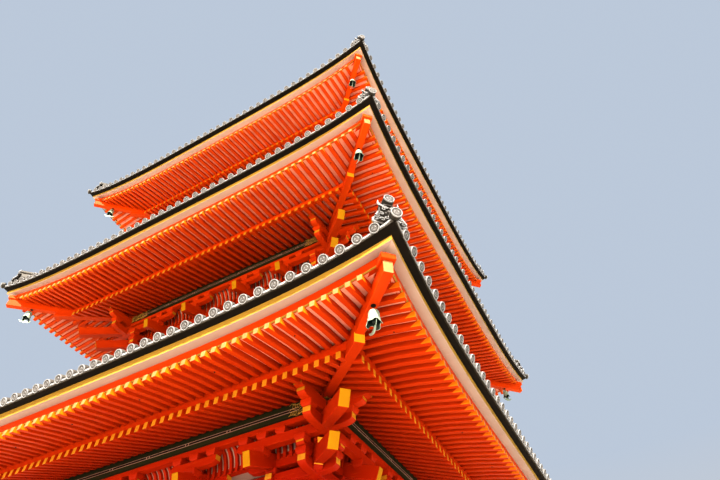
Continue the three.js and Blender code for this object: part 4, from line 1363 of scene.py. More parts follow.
@dataclass
class Brackets:
    """Three-stepped bracket sets under one storey's eave, with their tails, beams and coved ceiling."""

    storey: Storey
    step: float = 0.41
    arm_width: float = 0.13
    beam_width: float = 0.12
    tail_width: float = 0.135
    tail_depth: float = 0.24
    tail_slope: float = 0.35
    tail_reach: float = 1.56
    tail_end: float = 1.15
    corner_width: float = 0.165
    corner_tails: tuple[Pair, ...] = ((2.04, 0.985), (1.64, 1.32))
    purlin_out: float = 1.19
    rib_pitch: float = 0.125
    foot: float = 0.74
    block_out: float = 0.38
    arm_past: float = 0.14
    tongue_swell: float = 0.00628
    board: float = 0.02
    rib_half: float = 0.028
    cove_low: float = 0.90
    cove_high: float = 0.50
    ceiling_drop: float = 0.86
    wall_half: float = 0.045

    LEVELS = {
        "dais": (-1.77, -1.59),
        "arm_1": (-1.59, -1.42),
        "block_1": (-1.42, -1.30),
        "arm_2": (-1.30, -1.14),
        "block_2": (-1.14, -1.03),
        "arm_3": (-1.03, -0.89),
        "seat": (-0.95, -0.84),
        "purlin_arm": (-0.84, -0.69),
        "purlin_block": (-0.69, -0.575),
        "strip": (-0.575, -0.47),
    }

    def level(self, name: str) -> Pair:
        """Return the bottom and top of a level in the frame."""
        low, high = self.LEVELS[name]
        return self.storey.tip + low, self.storey.tip + high

    def plane(self, out: float) -> float:
        """Return the y of the plane at a distance outwards from the columns."""
        return -(self.storey.column_half + out)

    @staticmethod
    def arm_outline(start: float, stop: float, low: float, high: float, both: bool) -> list[Pair]:
        """Return a bracket arm's side view, its lower corner swept up to the end face.

        Args:
            start: Where it starts.
            stop: Where its end face is.
            low: Bottom.
            high: Top.
            both: Whether its start is shaped as its stop is.

        Returns:
            Points, with the end face between the first two and the start face last.
        """
        sweep = min(0.24, abs(stop - start) * 0.45)
        sign = 1 if stop > start else -1
        face = low + (high - low) * 0.42
        curve = [
            (stop - sign * sweep * (1 - math.cos(a)), face - (face - low) * math.sin(a))
            for a in np.linspace(0, math.pi / 2, 5)
        ]
        outline = [(stop, high), *curve]
        if both:
            back = [(start + (stop - u), z) for u, z in reversed(curve)]
            return outline + back + [(start, high)]
        return outline + [(start, low), (start, high)]

    @staticmethod
    def bar(outline: Outline, width: float, ends: Sequence[int], end: Finish) -> Form:
        """Make a bar from its side view, in the x-z plane.

        Args:
            outline: Side view.
            width: Width across.
            ends: Numbers of the outline's edges that are end faces.
            end: Finish of the end faces.

        Returns:
            The bar.
        """
        points, faces = slab(outline, width)
        finishes = [VERMILION] * len(faces)
        for number in ends:
            finishes[number] = end
        return Form().add(points, faces, finishes)

    def across(
        self, start: float, stop: float, out: float, name: str, both: bool = True, swell: float = 0.0
    ) -> Form:
        """Make an arm that runs along the wall, swollen a little where it passes another one."""
        low, high = self.level(name)
        outline = self.arm_outline(start, stop, low - swell, high + swell, both)
        ends = [0, len(outline) - 2] if both else [0]
        bar = self.bar(outline, self.arm_width + 2 * swell, ends, END_OCHRE)
        return Form().merge(bar, shift(y=self.plane(out)))

    def outward(self, x: float, start: float, stop: float, name: str, swell: float = 0.003) -> Form:
        """Make an arm that runs outwards at x, ending at a distance from the columns."""
        low, high = self.level(name)
        base = self.storey.column_half
        outline = self.arm_outline(base + start, base + stop, low - swell, high + swell, False)
        bar = self.bar(outline, self.arm_width + 2 * swell, [0], END_OCHRE)
        return Form().merge(bar, shift(x) @ TO_FRONT)

    def bearing(self, x: float, out: float, name: str, width: float = 0.2) -> Form:
        """Make a bearing block whose lower half narrows to its foot."""
        low, high = self.level(name)
        half = (width / 2, width / 2)
        return Form().add(*centred((x, self.plane(out)), half, low, high, self.foot), VERMILION)

    def beam(self, out: float, low: float, high: float, width: float) -> Form:
        """Make a beam along the front, mitred with those of the other sides."""
        line = self.storey.column_half + out
        return Form().add(*mitred(line + width / 2, line - width / 2, low, high), VERMILION)

    def tail_outline(self, reach: float, end: float) -> list[Pair]:
        """Return the side view of a tail that slopes down and outwards and is cut square.

        Args:
            reach: Distance of its end face's middle from the columns, per axis.
            end: Depth of that middle below the board tips.

        Returns:
            Points of plan half width and height, the end face first.
        """
        base, tip = self.storey.column_half, self.storey.tip
        tilt = math.atan(self.tail_slope)
        across = self.tail_depth / 2
        out, up = across * math.sin(tilt), across * math.cos(tilt)
        upright = across / math.cos(tilt)
        start = base - 0.1
        rise = (base + reach - start) * self.tail_slope
        middle = tip - end
        return [
            (base + reach + out, middle + up),
            (base + reach - out, middle - up),
            (start, middle + rise - upright),
            (start, middle + rise + upright),
        ]

    def tail(self, x: float) -> Form:
        """Make the tail that slopes down and outwards at x, its end face yellow."""
        outline = self.tail_outline(self.tail_reach, self.tail_end)
        bar = self.bar(outline, self.tail_width, [0], END_DEEP)
        return Form().merge(bar, shift(x) @ TO_FRONT)

    def bracket_set(self, x: float) -> Form:
        """Make the set over one column: arms outwards and along, blocks and the tail."""
        step = self.step
        shared = x == self.storey.columns[0]
        form = self.across(x - 0.55, x + 0.55, 0.0, "arm_1")
        if not shared:
            form.merge(self.bearing(x, 0.0, "dais", 0.40))
            form.merge(self.bearing(x, 0.0, "block_1"))
        form.merge(self.outward(x, -0.1, step + self.arm_past, "arm_1"))
        form.merge(self.outward(x, -0.1, 2 * step + self.arm_past, "arm_2"))
        for out, name in ((step, "arm_2"), (2 * step, "arm_3"), (self.purlin_out, "purlin_arm")):
            form.merge(self.across(x - 0.5, x + 0.5, out, name))
        for aside in (-self.block_out, self.block_out):
            form.merge(self.bearing(x + aside, 0.0, "block_1"))
        for aside in (-self.block_out, 0.0, self.block_out):
            form.merge(self.bearing(x + aside, step, "block_2"))
            form.merge(self.bearing(x + aside, self.purlin_out, "purlin_block"))
        form.merge(self.bearing(x, step, "block_1"))
        form.merge(self.bearing(x, 2 * step, "block_2"))
        form.merge(self.bearing(x, self.purlin_out, "seat", 0.21))
        return form.merge(self.tail(x))

    def corner_set(self) -> Form:
        """Make the front-right corner's crossings and its two diagonal tails."""
        step, base, tip = self.step, self.storey.column_half, self.storey.tip
        form = Form()
        crossings = (
            (step, "arm_1", 0.42, "block_1", 0.36),
            (2 * step, "arm_2", 0.42, "block_2", 0.36),
            (2 * step, "arm_3", 0.50, "seat", 0.42),
            (self.purlin_out, "purlin_arm", 0.54, "purlin_block", 0.48),
        )
        for out, arm, reach, bearing, bearing_out in crossings:
            form.merge(self.outward(base + out, 0.0, out + reach, arm, 0.009))
            form.merge(self.bearing(base + out, out + bearing_out, bearing))
            form.merge(self.across(base, base + out + reach, out, arm, both=False, swell=0.006))
            form.merge(self.bearing(base + out + bearing_out, out, bearing))
        nose = self.purlin_out + 0.74
        form.merge(self.outward(base + self.purlin_out, 0.9, nose, "strip", 0.009))
        form.merge(self.across(base + 0.9, base + nose, self.purlin_out, "strip", both=False, swell=0.006))
        along = shift(y=self.plane(self.purlin_out))
        outwards = shift(base + self.purlin_out) @ TO_FRONT
        for swell, spot in ((0.0, outwards), (self.tongue_swell, along)):
            low, high = tip - 0.47 - swell, tip - 0.36 + swell
            ends = ((self.purlin_out + 0.86, high), (self.purlin_out + 0.84, low), (0.9, low), (0.9, high))
            tongue = [(base + out, z) for out, z in ends]
            form.merge(self.bar(tongue, self.arm_width + 0.02, [0], END_OCHRE), spot)
        diagonal = Form()
        for reach, end in self.corner_tails:
            outline = [(half * ROOT_2, z) for half, z in self.tail_outline(reach, end)]
            diagonal.merge(self.bar(outline, self.corner_width, [0], END_DEEP))
        for out, name in ((step, "arm_1"), (2 * step, "arm_2"), (2 * step + 0.12, "arm_3")):
            low, high = self.level(name)
            stop, middle = (base + out + 0.16) * ROOT_2, (base + out) * ROOT_2
            outline = self.arm_outline(base * ROOT_2, stop, low - 0.013, high + 0.013, False)
            diagonal.merge(self.bar(outline, self.arm_width + 0.02, [0], END_OCHRE_BRIGHT))
            diagonal.add(*centred((middle, 0), (0.11, 0.11), high, high + 0.11, self.foot), VERMILION)
        return form.merge(diagonal, TO_CORNER)

    def ceiling(self) -> Form:
        """Make the coved ceiling behind the purlin: chalk boards with curved ribs before them."""
        base, tip, thick = self.storey.column_half, self.storey.tip, self.board
        low = (2 * self.step + 0.05, tip - self.cove_low)
        high = (self.purlin_out - 0.05, tip - self.cove_high)
        curve = []
        for angle in np.linspace(0, math.pi / 2, 6):
            out = low[0] + (high[0] - low[0]) * (1 - math.cos(angle))
            curve.append((out, low[1] + (high[1] - low[1]) * math.sin(angle)))
        rings = []
        for out, z in curve:
            y, reach = self.plane(out), base + out
            back, far, high_z = reach - thick, y + thick, z + thick
            rings.append([(-reach, y, z), (reach, y, z), (back, far, high_z), (-back, far, high_z)])
        form = Form().add(*loft(rings), CHALK_BOARD)
        count = int((base + high[0] - 0.06) / self.rib_pitch)
        for number in range(-count, count + 1):
            self.rib(form, number * self.rib_pitch, curve)
        flat = tip - self.ceiling_drop
        form.add(*mitred(base + 2 * self.step + 0.06, base, flat, flat + thick), CHALK_BOARD)
        return form.add(*mitred(base + self.wall_half, base - self.wall_half, tip - 1.87, flat), VERMILION)

    def rib(self, form: Form, x: float, curve: Outline) -> None:
        """Add one rib of the coved ceiling, as far as the hip lets it reach.

        Args:
            form: Form to add to.
            x: Its place along the side.
            curve: Distance outwards and height of each point of the ceiling.
        """
        ahead = Vector((0, -0.05, -0.02))
        rings = []
        for out, z in curve:
            if self.storey.column_half + out < abs(x) + 0.03:
                continue
            left = Vector((x - self.rib_half, self.plane(out), z))
            right = Vector((x + self.rib_half, self.plane(out), z))
            rings.append([left, right, right + ahead, left + ahead])
        if len(rings) > 1:
            form.add(*loft(rings), VERMILION, (0.0, 0.5, 0.85))

    def build(self) -> None:
        """Make the pieces of the brackets."""
        number, tip = self.storey.number, self.storey.tip
        side = Form()
        for x in self.storey.columns:
            side.merge(self.bracket_set(x))
        side.merge(self.corner_set())
        for out, low, high, width in (
            (0.0, 1.30, 1.12, self.beam_width),
            (0.0, 1.00, 0.86, self.beam_width),
            (self.step, 1.03, 0.88, self.beam_width),
            (2 * self.step, 0.90, 0.78, self.beam_width),
            (self.purlin_out, 0.575, 0.47, self.arm_width),
        ):
            side.merge(self.beam(out, tip - low, tip - high, width))
        whole = side.on_four_sides().to_piece(f"bracket_sets_{number}", bevel=0.005)
        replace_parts(whole, f"brackets_{number}")
        self.ceiling().on_four_sides().to_piece(f"coved_ceiling_{number}")


@dataclass
class Purlins:
    """Green eave purlins with their drawn lines and gold scrolls near the corners."""

    storey: Storey
    outer_inset: float = 2.36
    width: float = 0.16
    top: float = 0.20
    bottom: float = 0.468
    line_height: float = 0.342

    def build(self) -> None:
        """Make the purlins of all sides."""
        number, tip = self.storey.number, self.storey.tip
        outer = self.storey.half - self.outer_inset
        tube = square_tube(outer, outer - self.width, tip - self.bottom, tip - self.top)
        whole = Form().add(*tube, GREEN_PAINT).to_piece(f"purlins_{number}")
        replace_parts(whole, f"purlin_{number}")
        side = Form()
        middle = tip - self.line_height
        reach = outer - 0.55
        self.band(side, (-reach, reach), middle, 0.020, LINE_DARK, 0.002)
        for edge in (-0.024, 0.024):
            self.band(side, (-reach, reach), middle + edge, 0.005, LINE_ROSE, 0.0035)
        for edge in (-0.118, 0.118):
            self.band(side, (-reach - 0.4, reach + 0.4), middle + edge, 0.004, LINE_DARK, 0.0025)
        for x in np.arange(-reach + 0.9, reach - 0.8, 0.95):
            for aside in (-0.035, 0.035):
                self.band(side, (x + aside - 0.008, x + aside + 0.008), middle, 0.024, LINE_ROSE, 0.004)
        for sign in (-1, 1):
            self.scrolls(side, sign, outer, middle)
        side.on_four_sides().to_piece(f"purlin_lines_{number}")

    def band(self, form: Form, span: Pair, z: float, half: float, finish: Finish, proud: float) -> None:
        """Add a painted band to the front purlin's outer face.

        Args:
            form: Form to add to.
            span: Its ends along the purlin.
            z: Height of its middle.
            half: Half its height.
            finish: Its paint.
            proud: How far it stands out.
        """
        y = -(self.storey.half - self.outer_inset)
        form.add(*block((span[0], y - proud, z - half), (span[1], y + 0.002, z + half)), finish)

    def scrolls(self, form: Form, sign: int, outer: float, middle: float) -> None:
        """Add gold scrollwork towards one end of the front purlin."""
        face = -outer - 0.001
        for number in range(20):
            x = sign * (outer - 0.68 + number * 0.035)
            radius, lift = (0.052, 0.062) if number % 2 else (0.042, -0.062)
            curl = []
            for step in range(12):
                aside, up, _ = around(radius * (1 - step / 14.1), step * 0.79 + number, 0.0)
                curl.append((x + aside, face, middle + lift + up))
            form.add(*rope(curl, 0.006, 4), SCROLL_GOLD)
        for lift in (-0.1, 0.0, 0.1):
            vine = [
                (sign * (outer - 0.75 + step * 0.04), face, middle + lift + 0.02 * math.sin(step * 1.1))
                for step in range(17)
            ]
            form.add(*rope(vine, 0.0045, 4), SCROLL_GOLD)


@dataclass
class Bells:
    """Wind bells: a scalloped bronze bell with its clapper and the vane that the wind catches."""

    storey: Storey
    top: float = 0.038
    height: float = 0.235
    mouth: float = 0.114
    arch: float = 0.052
    shell: float = 0.009
    line: float = 0.0022

    def bell(self) -> Form:
        """Make one bell that hangs from the origin."""
        form = self.bowl()
        for z, radius in ((-0.084, 0.0745), (-0.091, 0.0752), (-0.186, 0.0855), (-0.193, 0.0865)):
            hoop = [around(radius, a, z) for a in np.arange(32) * math.pi / 16]
            form.add(*rope(hoop, self.line, 6, closed=True), BELL_BRONZE)
        for turn in range(4):
            angle = turn * math.pi / 2 + math.pi / 4
            places = ((0.070, -0.062), (0.0755, -0.10), (0.0795, -0.14), (0.0850, -0.186))
            form.add(*rope([around(r, angle, z) for r, z in places], self.line, 6), BELL_BRONZE)
        crown = [(0, -0.043), (0.021, -0.043), (0.021, -0.034), (0.012, -0.028), (0, -0.027)]
        form.add(*turned(crown, 24), BELL_BRONZE)
        turns = np.linspace(0, 2 * math.pi, 17)[:-1]
        loop = [(0.013 * math.sin(a), 0.0, -0.014 - 0.014 * math.cos(a)) for a in turns]
        form.add(*rope(loop, 0.0035, 8, closed=True), FORGED_IRON)
        form.add(*rope([(0, 0, -0.040), (0, 0, -0.20), (0.001, 0, -0.285)], 0.004, 8), FORGED_IRON)
        ball = [(0.030 * math.sin(a), -0.222 - 0.022 * math.cos(a)) for a in np.linspace(0, math.pi, 8)]
        ball[0] = (0, ball[0][1])
        ball[-1] = (0, ball[-1][1])
        form.add(*turned(ball, 20), BELL_INSIDE)
        return form.merge(self.vane())

    def bowl(self) -> Form:
        """Make the bell's shell, its mouth cut into four arches."""
        sides = 40
        profile = [(0.020, -0.038), (0.050, -0.042), (0.066, -0.054), (0.073, -0.076), (0.077, -0.12)]
        profile += [(0.081, -0.16), (0.086, -0.195)]
        flare = [(0.086, -0.195), (0.094, -0.23), (self.mouth, -self.top - self.height)]
        outer = [self.ring(radius, [z] * sides) for radius, z in profile]
        inner = [self.ring(max(0.004, radius - self.shell), [z - 0.004] * sides) for radius, z in profile]
        turn = np.arange(sides) * 2 * math.pi / sides
        aside = np.abs(self.mouth * np.sin((turn + math.pi / 4) % (math.pi / 2) - math.pi / 4))
        edge = flare[-1][1] + self.arch * np.sqrt(np.clip(1 - (aside / self.arch) ** 2, 0, 1))
        for share in (0.35, 0.7, 1.0):
            heights = flare[0][1] + share * (edge - flare[0][1])
            radii = np.interp(-heights, [-z for _, z in flare], [radius for radius, _ in flare])
            outer.append(self.ring(radii, heights))
            inner.append(self.ring(radii - self.shell, heights))
        rings = [*outer, *reversed(inner)]
        points, faces = loft(rings)
        bands = [number // sides for number in range(len(faces))]
        hidden = range(len(outer), len(rings) - 1)
        return Form().add(points, faces, [BELL_INSIDE if band in hidden else BELL_BRONZE for band in bands])

    @staticmethod
    def ring(radius: float | Points, heights: Sequence[float]) -> list[Point]:
        """Make a ring of points, each at its own height."""
        turn = np.arange(len(heights)) * 2 * math.pi / len(heights)
        radii = radius * np.ones(len(heights))
        return [around(r, a, z) for r, a, z in zip(radii, turn, heights)]

    @staticmethod
    def vane() -> Form:
        """Make the vane: a broad bronze crescent, its tips turned up, a little dished."""
        half_outline = [(0.008, -0.275), (0.013, -0.318), (0.040, -0.330), (0.080, -0.333), (0.115, -0.320)]
        half_outline += [(0.150, -0.302), (0.143, -0.330), (0.115, -0.362), (0.075, -0.382)]
        half_outline += [(0.030, -0.392), (0.0, -0.393)]
        outline = half_outline + [(-x, z) for x, z in reversed(half_outline[:-1])]
        points, faces = slab(outline, 0.005)
        points[:, 1] += 0.012 * np.cos(points[:, 0] * 18) - 0.012
        return Form().add(points, faces, BELL_BRONZE)

    def build(self) -> None:
        """Make each corner's bell, which rides its own body."""
        half = self.storey.half - self.storey.BELL_INSET
        z = self.storey.tip - self.storey.BELL_DROP
        corners = {"front_right": (1, -1), "back_right": (1, 1), "back_left": (-1, 1), "front_left": (-1, -1)}
        for corner, (right, back) in corners.items():
            name = f"bell_{self.storey.number}_{corner}"
            turn = math.atan2(back, right)
            place = shift(right * half, back * half, z) @ Matrix.Rotation(turn, 4, "Z")
            piece = Form().merge(self.bell(), place).to_piece(f"wind_{name}", body=name)
            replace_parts(piece, name)


@dataclass
class Body:
    """Columns, beams, windows and doors of one storey."""

    storey: Storey
    sill: float = 0.16
    head: float = 2.17
    plate: float = 1.97
    door_margin: float = 0.06
    ground_door_height: float = 2.25
    jamb: float = 0.09
    frame_width: float = 0.055
    bar_pitch: float = 0.062
    bar_radius: float = 0.023
    beam_half: float = 0.075
    plate_half: float = 0.21
    nose_reach: float = 0.44
    waist_height: float = 0.16
    rail_pitch: float = 0.48

    @property
    def wall(self) -> Pair:
        """Bottom and top of the wall between sill and head beam."""
        return self.storey.base + self.sill, self.storey.tip - self.head

    def beams(self) -> Form:
        """Return the columns, sills, head beams and their noses past the corners."""
        storey = self.storey
        outer, radius = storey.column_half, storey.column_radius
        base, top = storey.base, storey.tip - self.plate
        taper = base + 0.6 * (top - base)
        shape = [(0, base), (radius, base), (radius, taper), (radius * 0.95, top), (0, top)]
        side = Form()
        for x in storey.columns[:-1]:
            side.merge(Form().add(*turned(shape, 32), VERMILION, UPRIGHT), shift(x, -outer))
        sill, head = self.wall
        beams = ((self.beam_half, base, sill), (self.beam_half, head, top), (self.plate_half, top, top + 0.1))
        for half, low, high in beams:
            side.add(*mitred(outer + half, outer - half, low, high), VERMILION)
        side.add(*mitred(outer + self.plate_half + 0.012, outer + 0.1, top + 0.03, top + 0.07), VERMILION)
        for sign in (-1, 1):
            stop = sign * (outer + self.nose_reach)
            nose = Brackets.arm_outline(sign * outer, stop, top - 0.19, top - 0.02, False)
            bar = Brackets.bar(nose, 0.11, [0], END_OCHRE_BRIGHT)
            side.merge(bar, shift(y=-outer))
        if storey.number == 1:
            self.waist_beams(side)
        return side.on_four_sides()

    def waist_beams(self, side: Form) -> None:
        """Add the beams that clasp the ground floor's columns, with gilt covers on their nails."""
        outer, inner = self.storey.column_half, self.storey.columns[2]
        face = outer + self.storey.column_radius + 0.02
        low, high = self.window_span
        over, under = high + 0.05, low - 0.05
        side.add(*mitred(face, outer + 0.04, over, over + self.waist_height), VERMILION)
        for sign in (-1, 1):
            ends = sorted((sign * (inner - 0.13), sign * face))
            beam = block((ends[0], -face, under - self.waist_height), (ends[1], -outer - 0.04, under))
            side.add(*beam, VERMILION)
        dome = [(0, 0), (0.05, 0), (0.048, 0.01), (0.02, 0.016), (0.014, 0.03), (0, 0.034)]
        cover = Form().add(*turned(dome, 12), GILT_BRASS)
        for x in self.storey.columns:
            for z in (low - 0.13, high + 0.13):
                side.merge(cover, toward((x, -face, z), Vector((0, -1, 0))))

    @property
    def window_span(self) -> Pair:
        """Bottom and top of the windows."""
        low, high = self.wall
        return low + 0.42 * (high - low), high - min(0.16 * (high - low), 0.42)

    def surround(self, x: float, half: float, low: float, high: float) -> Form:
        """Return a planed frame round an opening."""
        wall, wide = -self.storey.column_half, self.frame_width
        near, far = wall - 0.08, wall + 0.07
        form = Form()
        for a, b, c, d in (
            (-half - wide, half + wide, low - wide, low),
            (-half - wide, half + wide, high, high + wide),
            (-half - wide, -half, low, high),
            (half, half + wide, low, high),
        ):
            form.add(*block((x + a, near, c), (x + b, far, d)), VERMILION)
        return form

    def windows(self) -> Form:
        """Return the windows' frames and their upright green bars, set corner on."""
        outer, inner = self.storey.column_half, self.storey.columns[2]
        half = (outer - inner) / 2 - self.storey.column_radius - 0.07
        low, high = self.window_span
        count = round(2 * half / self.bar_pitch)
        side = Form()
        for sign in (-1, 1):
            middle = sign * (outer + inner) / 2
            side.merge(self.surround(middle, half, low, high))
            for number in range(1, count):
                x = middle - half + number * 2 * half / count
                bar = turned([(0, low), (self.bar_radius, low), (self.bar_radius, high), (0, high)], 4)
                side.merge(Form().add(*bar, BAR_GREEN, UPRIGHT), shift(x, -outer))
        return side.on_four_sides()

    def leaf(self, start: float, stop: float, low: float, high: float, y: float) -> Form:
        """Return the planks, rails, nail heads and ring of one door leaf.

        Args:
            start: Its hinge side.
            stop: Its closing side.
            low: Bottom.
            high: Top.
            y: Plane of its face.

        Returns:
            The leaf's relief.
        """
        form = Form()
        edges = np.linspace(start, stop, 5)
        for near, far in zip(edges[:-1], edges[1:]):
            a, b = sorted((near, far))
            plank = block((a + 0.003, y - 0.007, low + 0.003), (b - 0.003, y + 0.004, high - 0.003))
            form.add(*plank, DOOR_PAINT, UPRIGHT)
        a, b = sorted((start, stop))
        stud = Form().add(*turned([(0, 0), (0.017, 0), (0.014, 0.009), (0, 0.015)], 8), GILT_BRASS)
        rails = max(2, round((high - low) / self.rail_pitch) + 1)
        for z in np.linspace(low + 0.06, high - 0.06, rails):
            form.add(*block((a + 0.006, y - 0.024, z - 0.045), (b - 0.006, y - 0.004, z + 0.045)), DOOR_PAINT)
            for x in np.linspace(a + 0.05, b - 0.05, 6):
                form.merge(stud, toward((x, y - 0.023, z), Vector((0, -1, 0))))
        x, z = stop + (0.07 if start > stop else -0.07), (low + high) / 2 + 0.12
        turns = np.arange(20) * math.pi / 10
        ring = [(x + 0.035 * math.sin(a), y - 0.03, z + 0.035 * math.cos(a)) for a in turns]
        return form.add(*rope(ring, 0.006, 8, closed=True), FORGED_IRON)

    def doors(self) -> Form:
        """Return both leaves of the doors of all sides."""
        storey = self.storey
        half = storey.columns[2] - storey.column_radius - self.door_margin
        low, high = self.wall
        side = Form()
        if storey.number == 1:
            low, high = low + self.jamb, low + self.ground_door_height - self.jamb
            y, half = -storey.column_half - 0.03, half - self.jamb
        else:
            low, high, y = low + 0.06, high - 0.14, -storey.column_half - 0.015
            wide = self.frame_width
            side.merge(self.surround(0.0, half - wide, low + wide, high - wide))
        for sign in (-1, 1):
            side.merge(self.leaf(sign * (half - 0.004), sign * 0.006, low + 0.004, high - 0.004, y))
        return side.on_four_sides()

    def build(self) -> None:
        """Make the pieces of the body."""
        number = self.storey.number
        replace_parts(self.beams().to_piece(f"columns_and_beams_{number}", bevel=0.006), f"frame_{number}")
        self.windows().to_piece(f"barred_windows_{number}", bevel=0.003)
        self.doors().to_piece(f"door_leaves_{number}")


@dataclass
class Balcony:
    """Boards, joists and railing round an upper storey."""

    storey: Storey
    reach: float = 0.78
    skirt: float = 0.17
    thickness: float = 0.11
    rail_out: float = 0.67
    joist_pitch: float = 0.26
    joist_half: float = 0.038
    board_pitch: float = 0.115
    top_rail: float = 0.585
    bays: int = 9

    def deck(self) -> Form:
        """Return the floor boards, their edge beam and the joists under them."""
        half, base = self.storey.column_half, self.storey.base
        side = Form()
        for row in range(6):
            outer = half + self.reach - row * self.board_pitch
            inner, edge = outer - 0.109, 0.0 if row else 0.01
            side.add(*mitred(outer + edge, inner, base - 0.05, base + 0.007), FLOOR_BOARD)
        side.add(*mitred(half + self.reach + 0.006, half + 0.66, base - 0.125, base - 0.012), VERMILION)
        low, high = base - self.thickness - 0.105, base - self.thickness - 0.012
        wide = self.joist_half
        joist = block((-wide, -half - self.reach + 0.05, low), (wide, -half - self.skirt + 0.03, high))
        painted = [END_YELLOW] + [VERMILION] * 5
        bar = Form().add(*joist, painted, ALONG_Y)
        last = round((half + self.skirt) / self.joist_pitch)
        for number in range(-last, last + 1):
            side.merge(bar, shift(number * self.joist_pitch))
        front, back = (-half - self.reach + 0.06) * ROOT_2, (-half - 0.1) * ROOT_2
        corner = Form().add(*block((-0.05, front, low - 0.012), (0.05, back, high)), painted, ALONG_Y)
        side.merge(corner, Matrix.Rotation(math.pi / 4, 4, "Z"))
        out = half + self.skirt
        side.add(*mitred(out + 0.05, out - 0.03, low - 0.09, low), VERMILION)
        for x in np.arange(-4, 5) * out / 4:
            seat = block((x - 0.08, -out - 0.09, low - 0.2), (x + 0.08, -out + 0.02, low - 0.09), 0.72)
            side.add(*seat, VERMILION)
        return side.on_four_sides()

    def railing(self) -> Form:
        """Return the rails, struts and capped posts."""
        line, base = self.storey.column_half + self.rail_out, self.storey.base
        side = Form()
        for wide, low, high in ((0.045, 0.0, 0.07), (0.03, 0.31, 0.355)):
            side.add(*mitred(line + wide, line - wide, base + low, base + high), VERMILION)
        top = [(x, -line, base + self.top_rail) for x in (-line, 0, line)]
        side.add(*rope(top, 0.036, 16), VERMILION)
        for number in range(1, self.bays):
            place = (-line + 2 * line * number / self.bays, -line)
            side.add(*centred(place, (0.03, 0.03), base + 0.07, base + 0.31), VERMILION)
            side.add(*centred(place, (0.022, 0.022), base + 0.355, base + 0.5), VERMILION)
            side.add(*centred(place, (0.045, 0.04), base + 0.5, base + 0.555, 0.6), VERMILION)
        post = [(0, 0), (0.056, 0), (0.056, 0.62), (0, 0.62)]
        cap = [(0, 0.62), (0.06, 0.62), (0.06, 0.64), (0.04, 0.655), (0.05, 0.69), (0.04, 0.72)]
        cap += [(0.014, 0.74), (0, 0.75)]
        corner = Form().add(*turned(post, 24), VERMILION, UPRIGHT).add(*turned(cap, 24), GILT_BRASS)
        return side.merge(corner, shift(-line, -line, base)).on_four_sides()

    def build(self) -> None:
        """Make the pieces of the balcony."""
        number = self.storey.number
        self.deck().to_piece(f"balcony_boards_{number}", bevel=0.003)
        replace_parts(self.railing().to_piece(f"railing_rails_{number}", bevel=0.003), f"railing_{number}")


@dataclass
class Podium:
    """Stones of the podium, its steps and the ground floor's boards."""

    half: float = 4.0
    lip: float = 4.09
    height: float = 1.0
    course: float = 0.16
    tread: float = 0.3
    rise: float = 0.2
    width: float = 1.9
    joint: float = 0.003
    proud: float = 0.006
    posts: tuple[float, ...] = (-3.85, -2.4, -1.1, 1.1, 2.4, 3.85)
    post_half: float = 0.15

    def row(self, outer: float, depth: float, low: float, high: float, length: float) -> Form:
        """Return a row of stones along the front, which meets the next side's row end to face."""
        run = 2 * outer - depth
        count = round(run / length)
        form = Form()
        for number in range(count):
            start = -outer + run * number / count + self.joint
            stop = -outer + run * (number + 1) / count - self.joint
            stone = block((start, -outer, low), (stop, -outer + depth - 2 * self.joint, high))
            form.add(*stone, DRESSED_GRANITE)
        return form

    def facing(self) -> Form:
        """Return the foot, posts, panels, coping and paving of all sides."""
        face, top = self.lip + self.proud, self.height
        low, high = self.course + self.joint, top - self.course - self.joint
        side = self.row(face, 0.4, high + 2 * self.joint, top + self.proud, 1.15)
        side.merge(self.row(face, 0.3, 0.0, low - 2 * self.joint, 1.3))
        for outer, depth in ((3.696, 0.55), (3.146, 0.55), (2.596, 0.3)):
            side.merge(self.row(outer, depth, top - 0.05, top + self.proud, 0.85))
        front, wide = -self.half, self.post_half
        for x in self.posts:
            side.add(*block((x - wide, front - 0.03, low), (x + wide, front + 0.1, high)), DRESSED_GRANITE)
        wide += self.joint
        for left, right in zip(self.posts[:-1], self.posts[1:]):
            panel = block((left + wide, front - self.proud, low), (right - wide, front + 0.1, high))
            side.add(*panel, DRESSED_GRANITE)
        return side.on_four_sides()

    def steps(self) -> Form:
        """Return the step stones of all sides, each tread in two stones."""
        half, side = self.width / 2 + self.proud, Form()
        for number in range(5):
            out = self.lip + (5 - number) * self.tread + 0.008
            top = (number + 1) * self.rise
            seam = 0.22 if number % 2 else -0.22
            for start, stop in ((-half, seam - self.joint), (seam + self.joint, half)):
                low = (start, -out, top - self.rise + self.joint)
                high = (stop, -out + self.tread + 0.02, top + self.proud)
                side.add(*block(low, high), DRESSED_GRANITE)
        return side.on_four_sides()

    def floor(self) -> Form:
        """Return the boards of the ground floor room."""
        form = Form()
        for x in np.arange(-8, 9) * 0.256:
            board = block((x - 0.124, -2.26, self.height + 0.1), (x + 0.124, 2.26, self.height + 0.126))
            form.add(*board, FLOOR_BOARD, ALONG_Y)
        return form

    def build(self) -> None:
        """Make the pieces of the podium."""
        self.facing().to_piece("podium_stones", bevel=0.004)
        self.steps().to_piece("step_stones", bevel=0.004)
        self.floor().to_piece("ground_floor_boards")


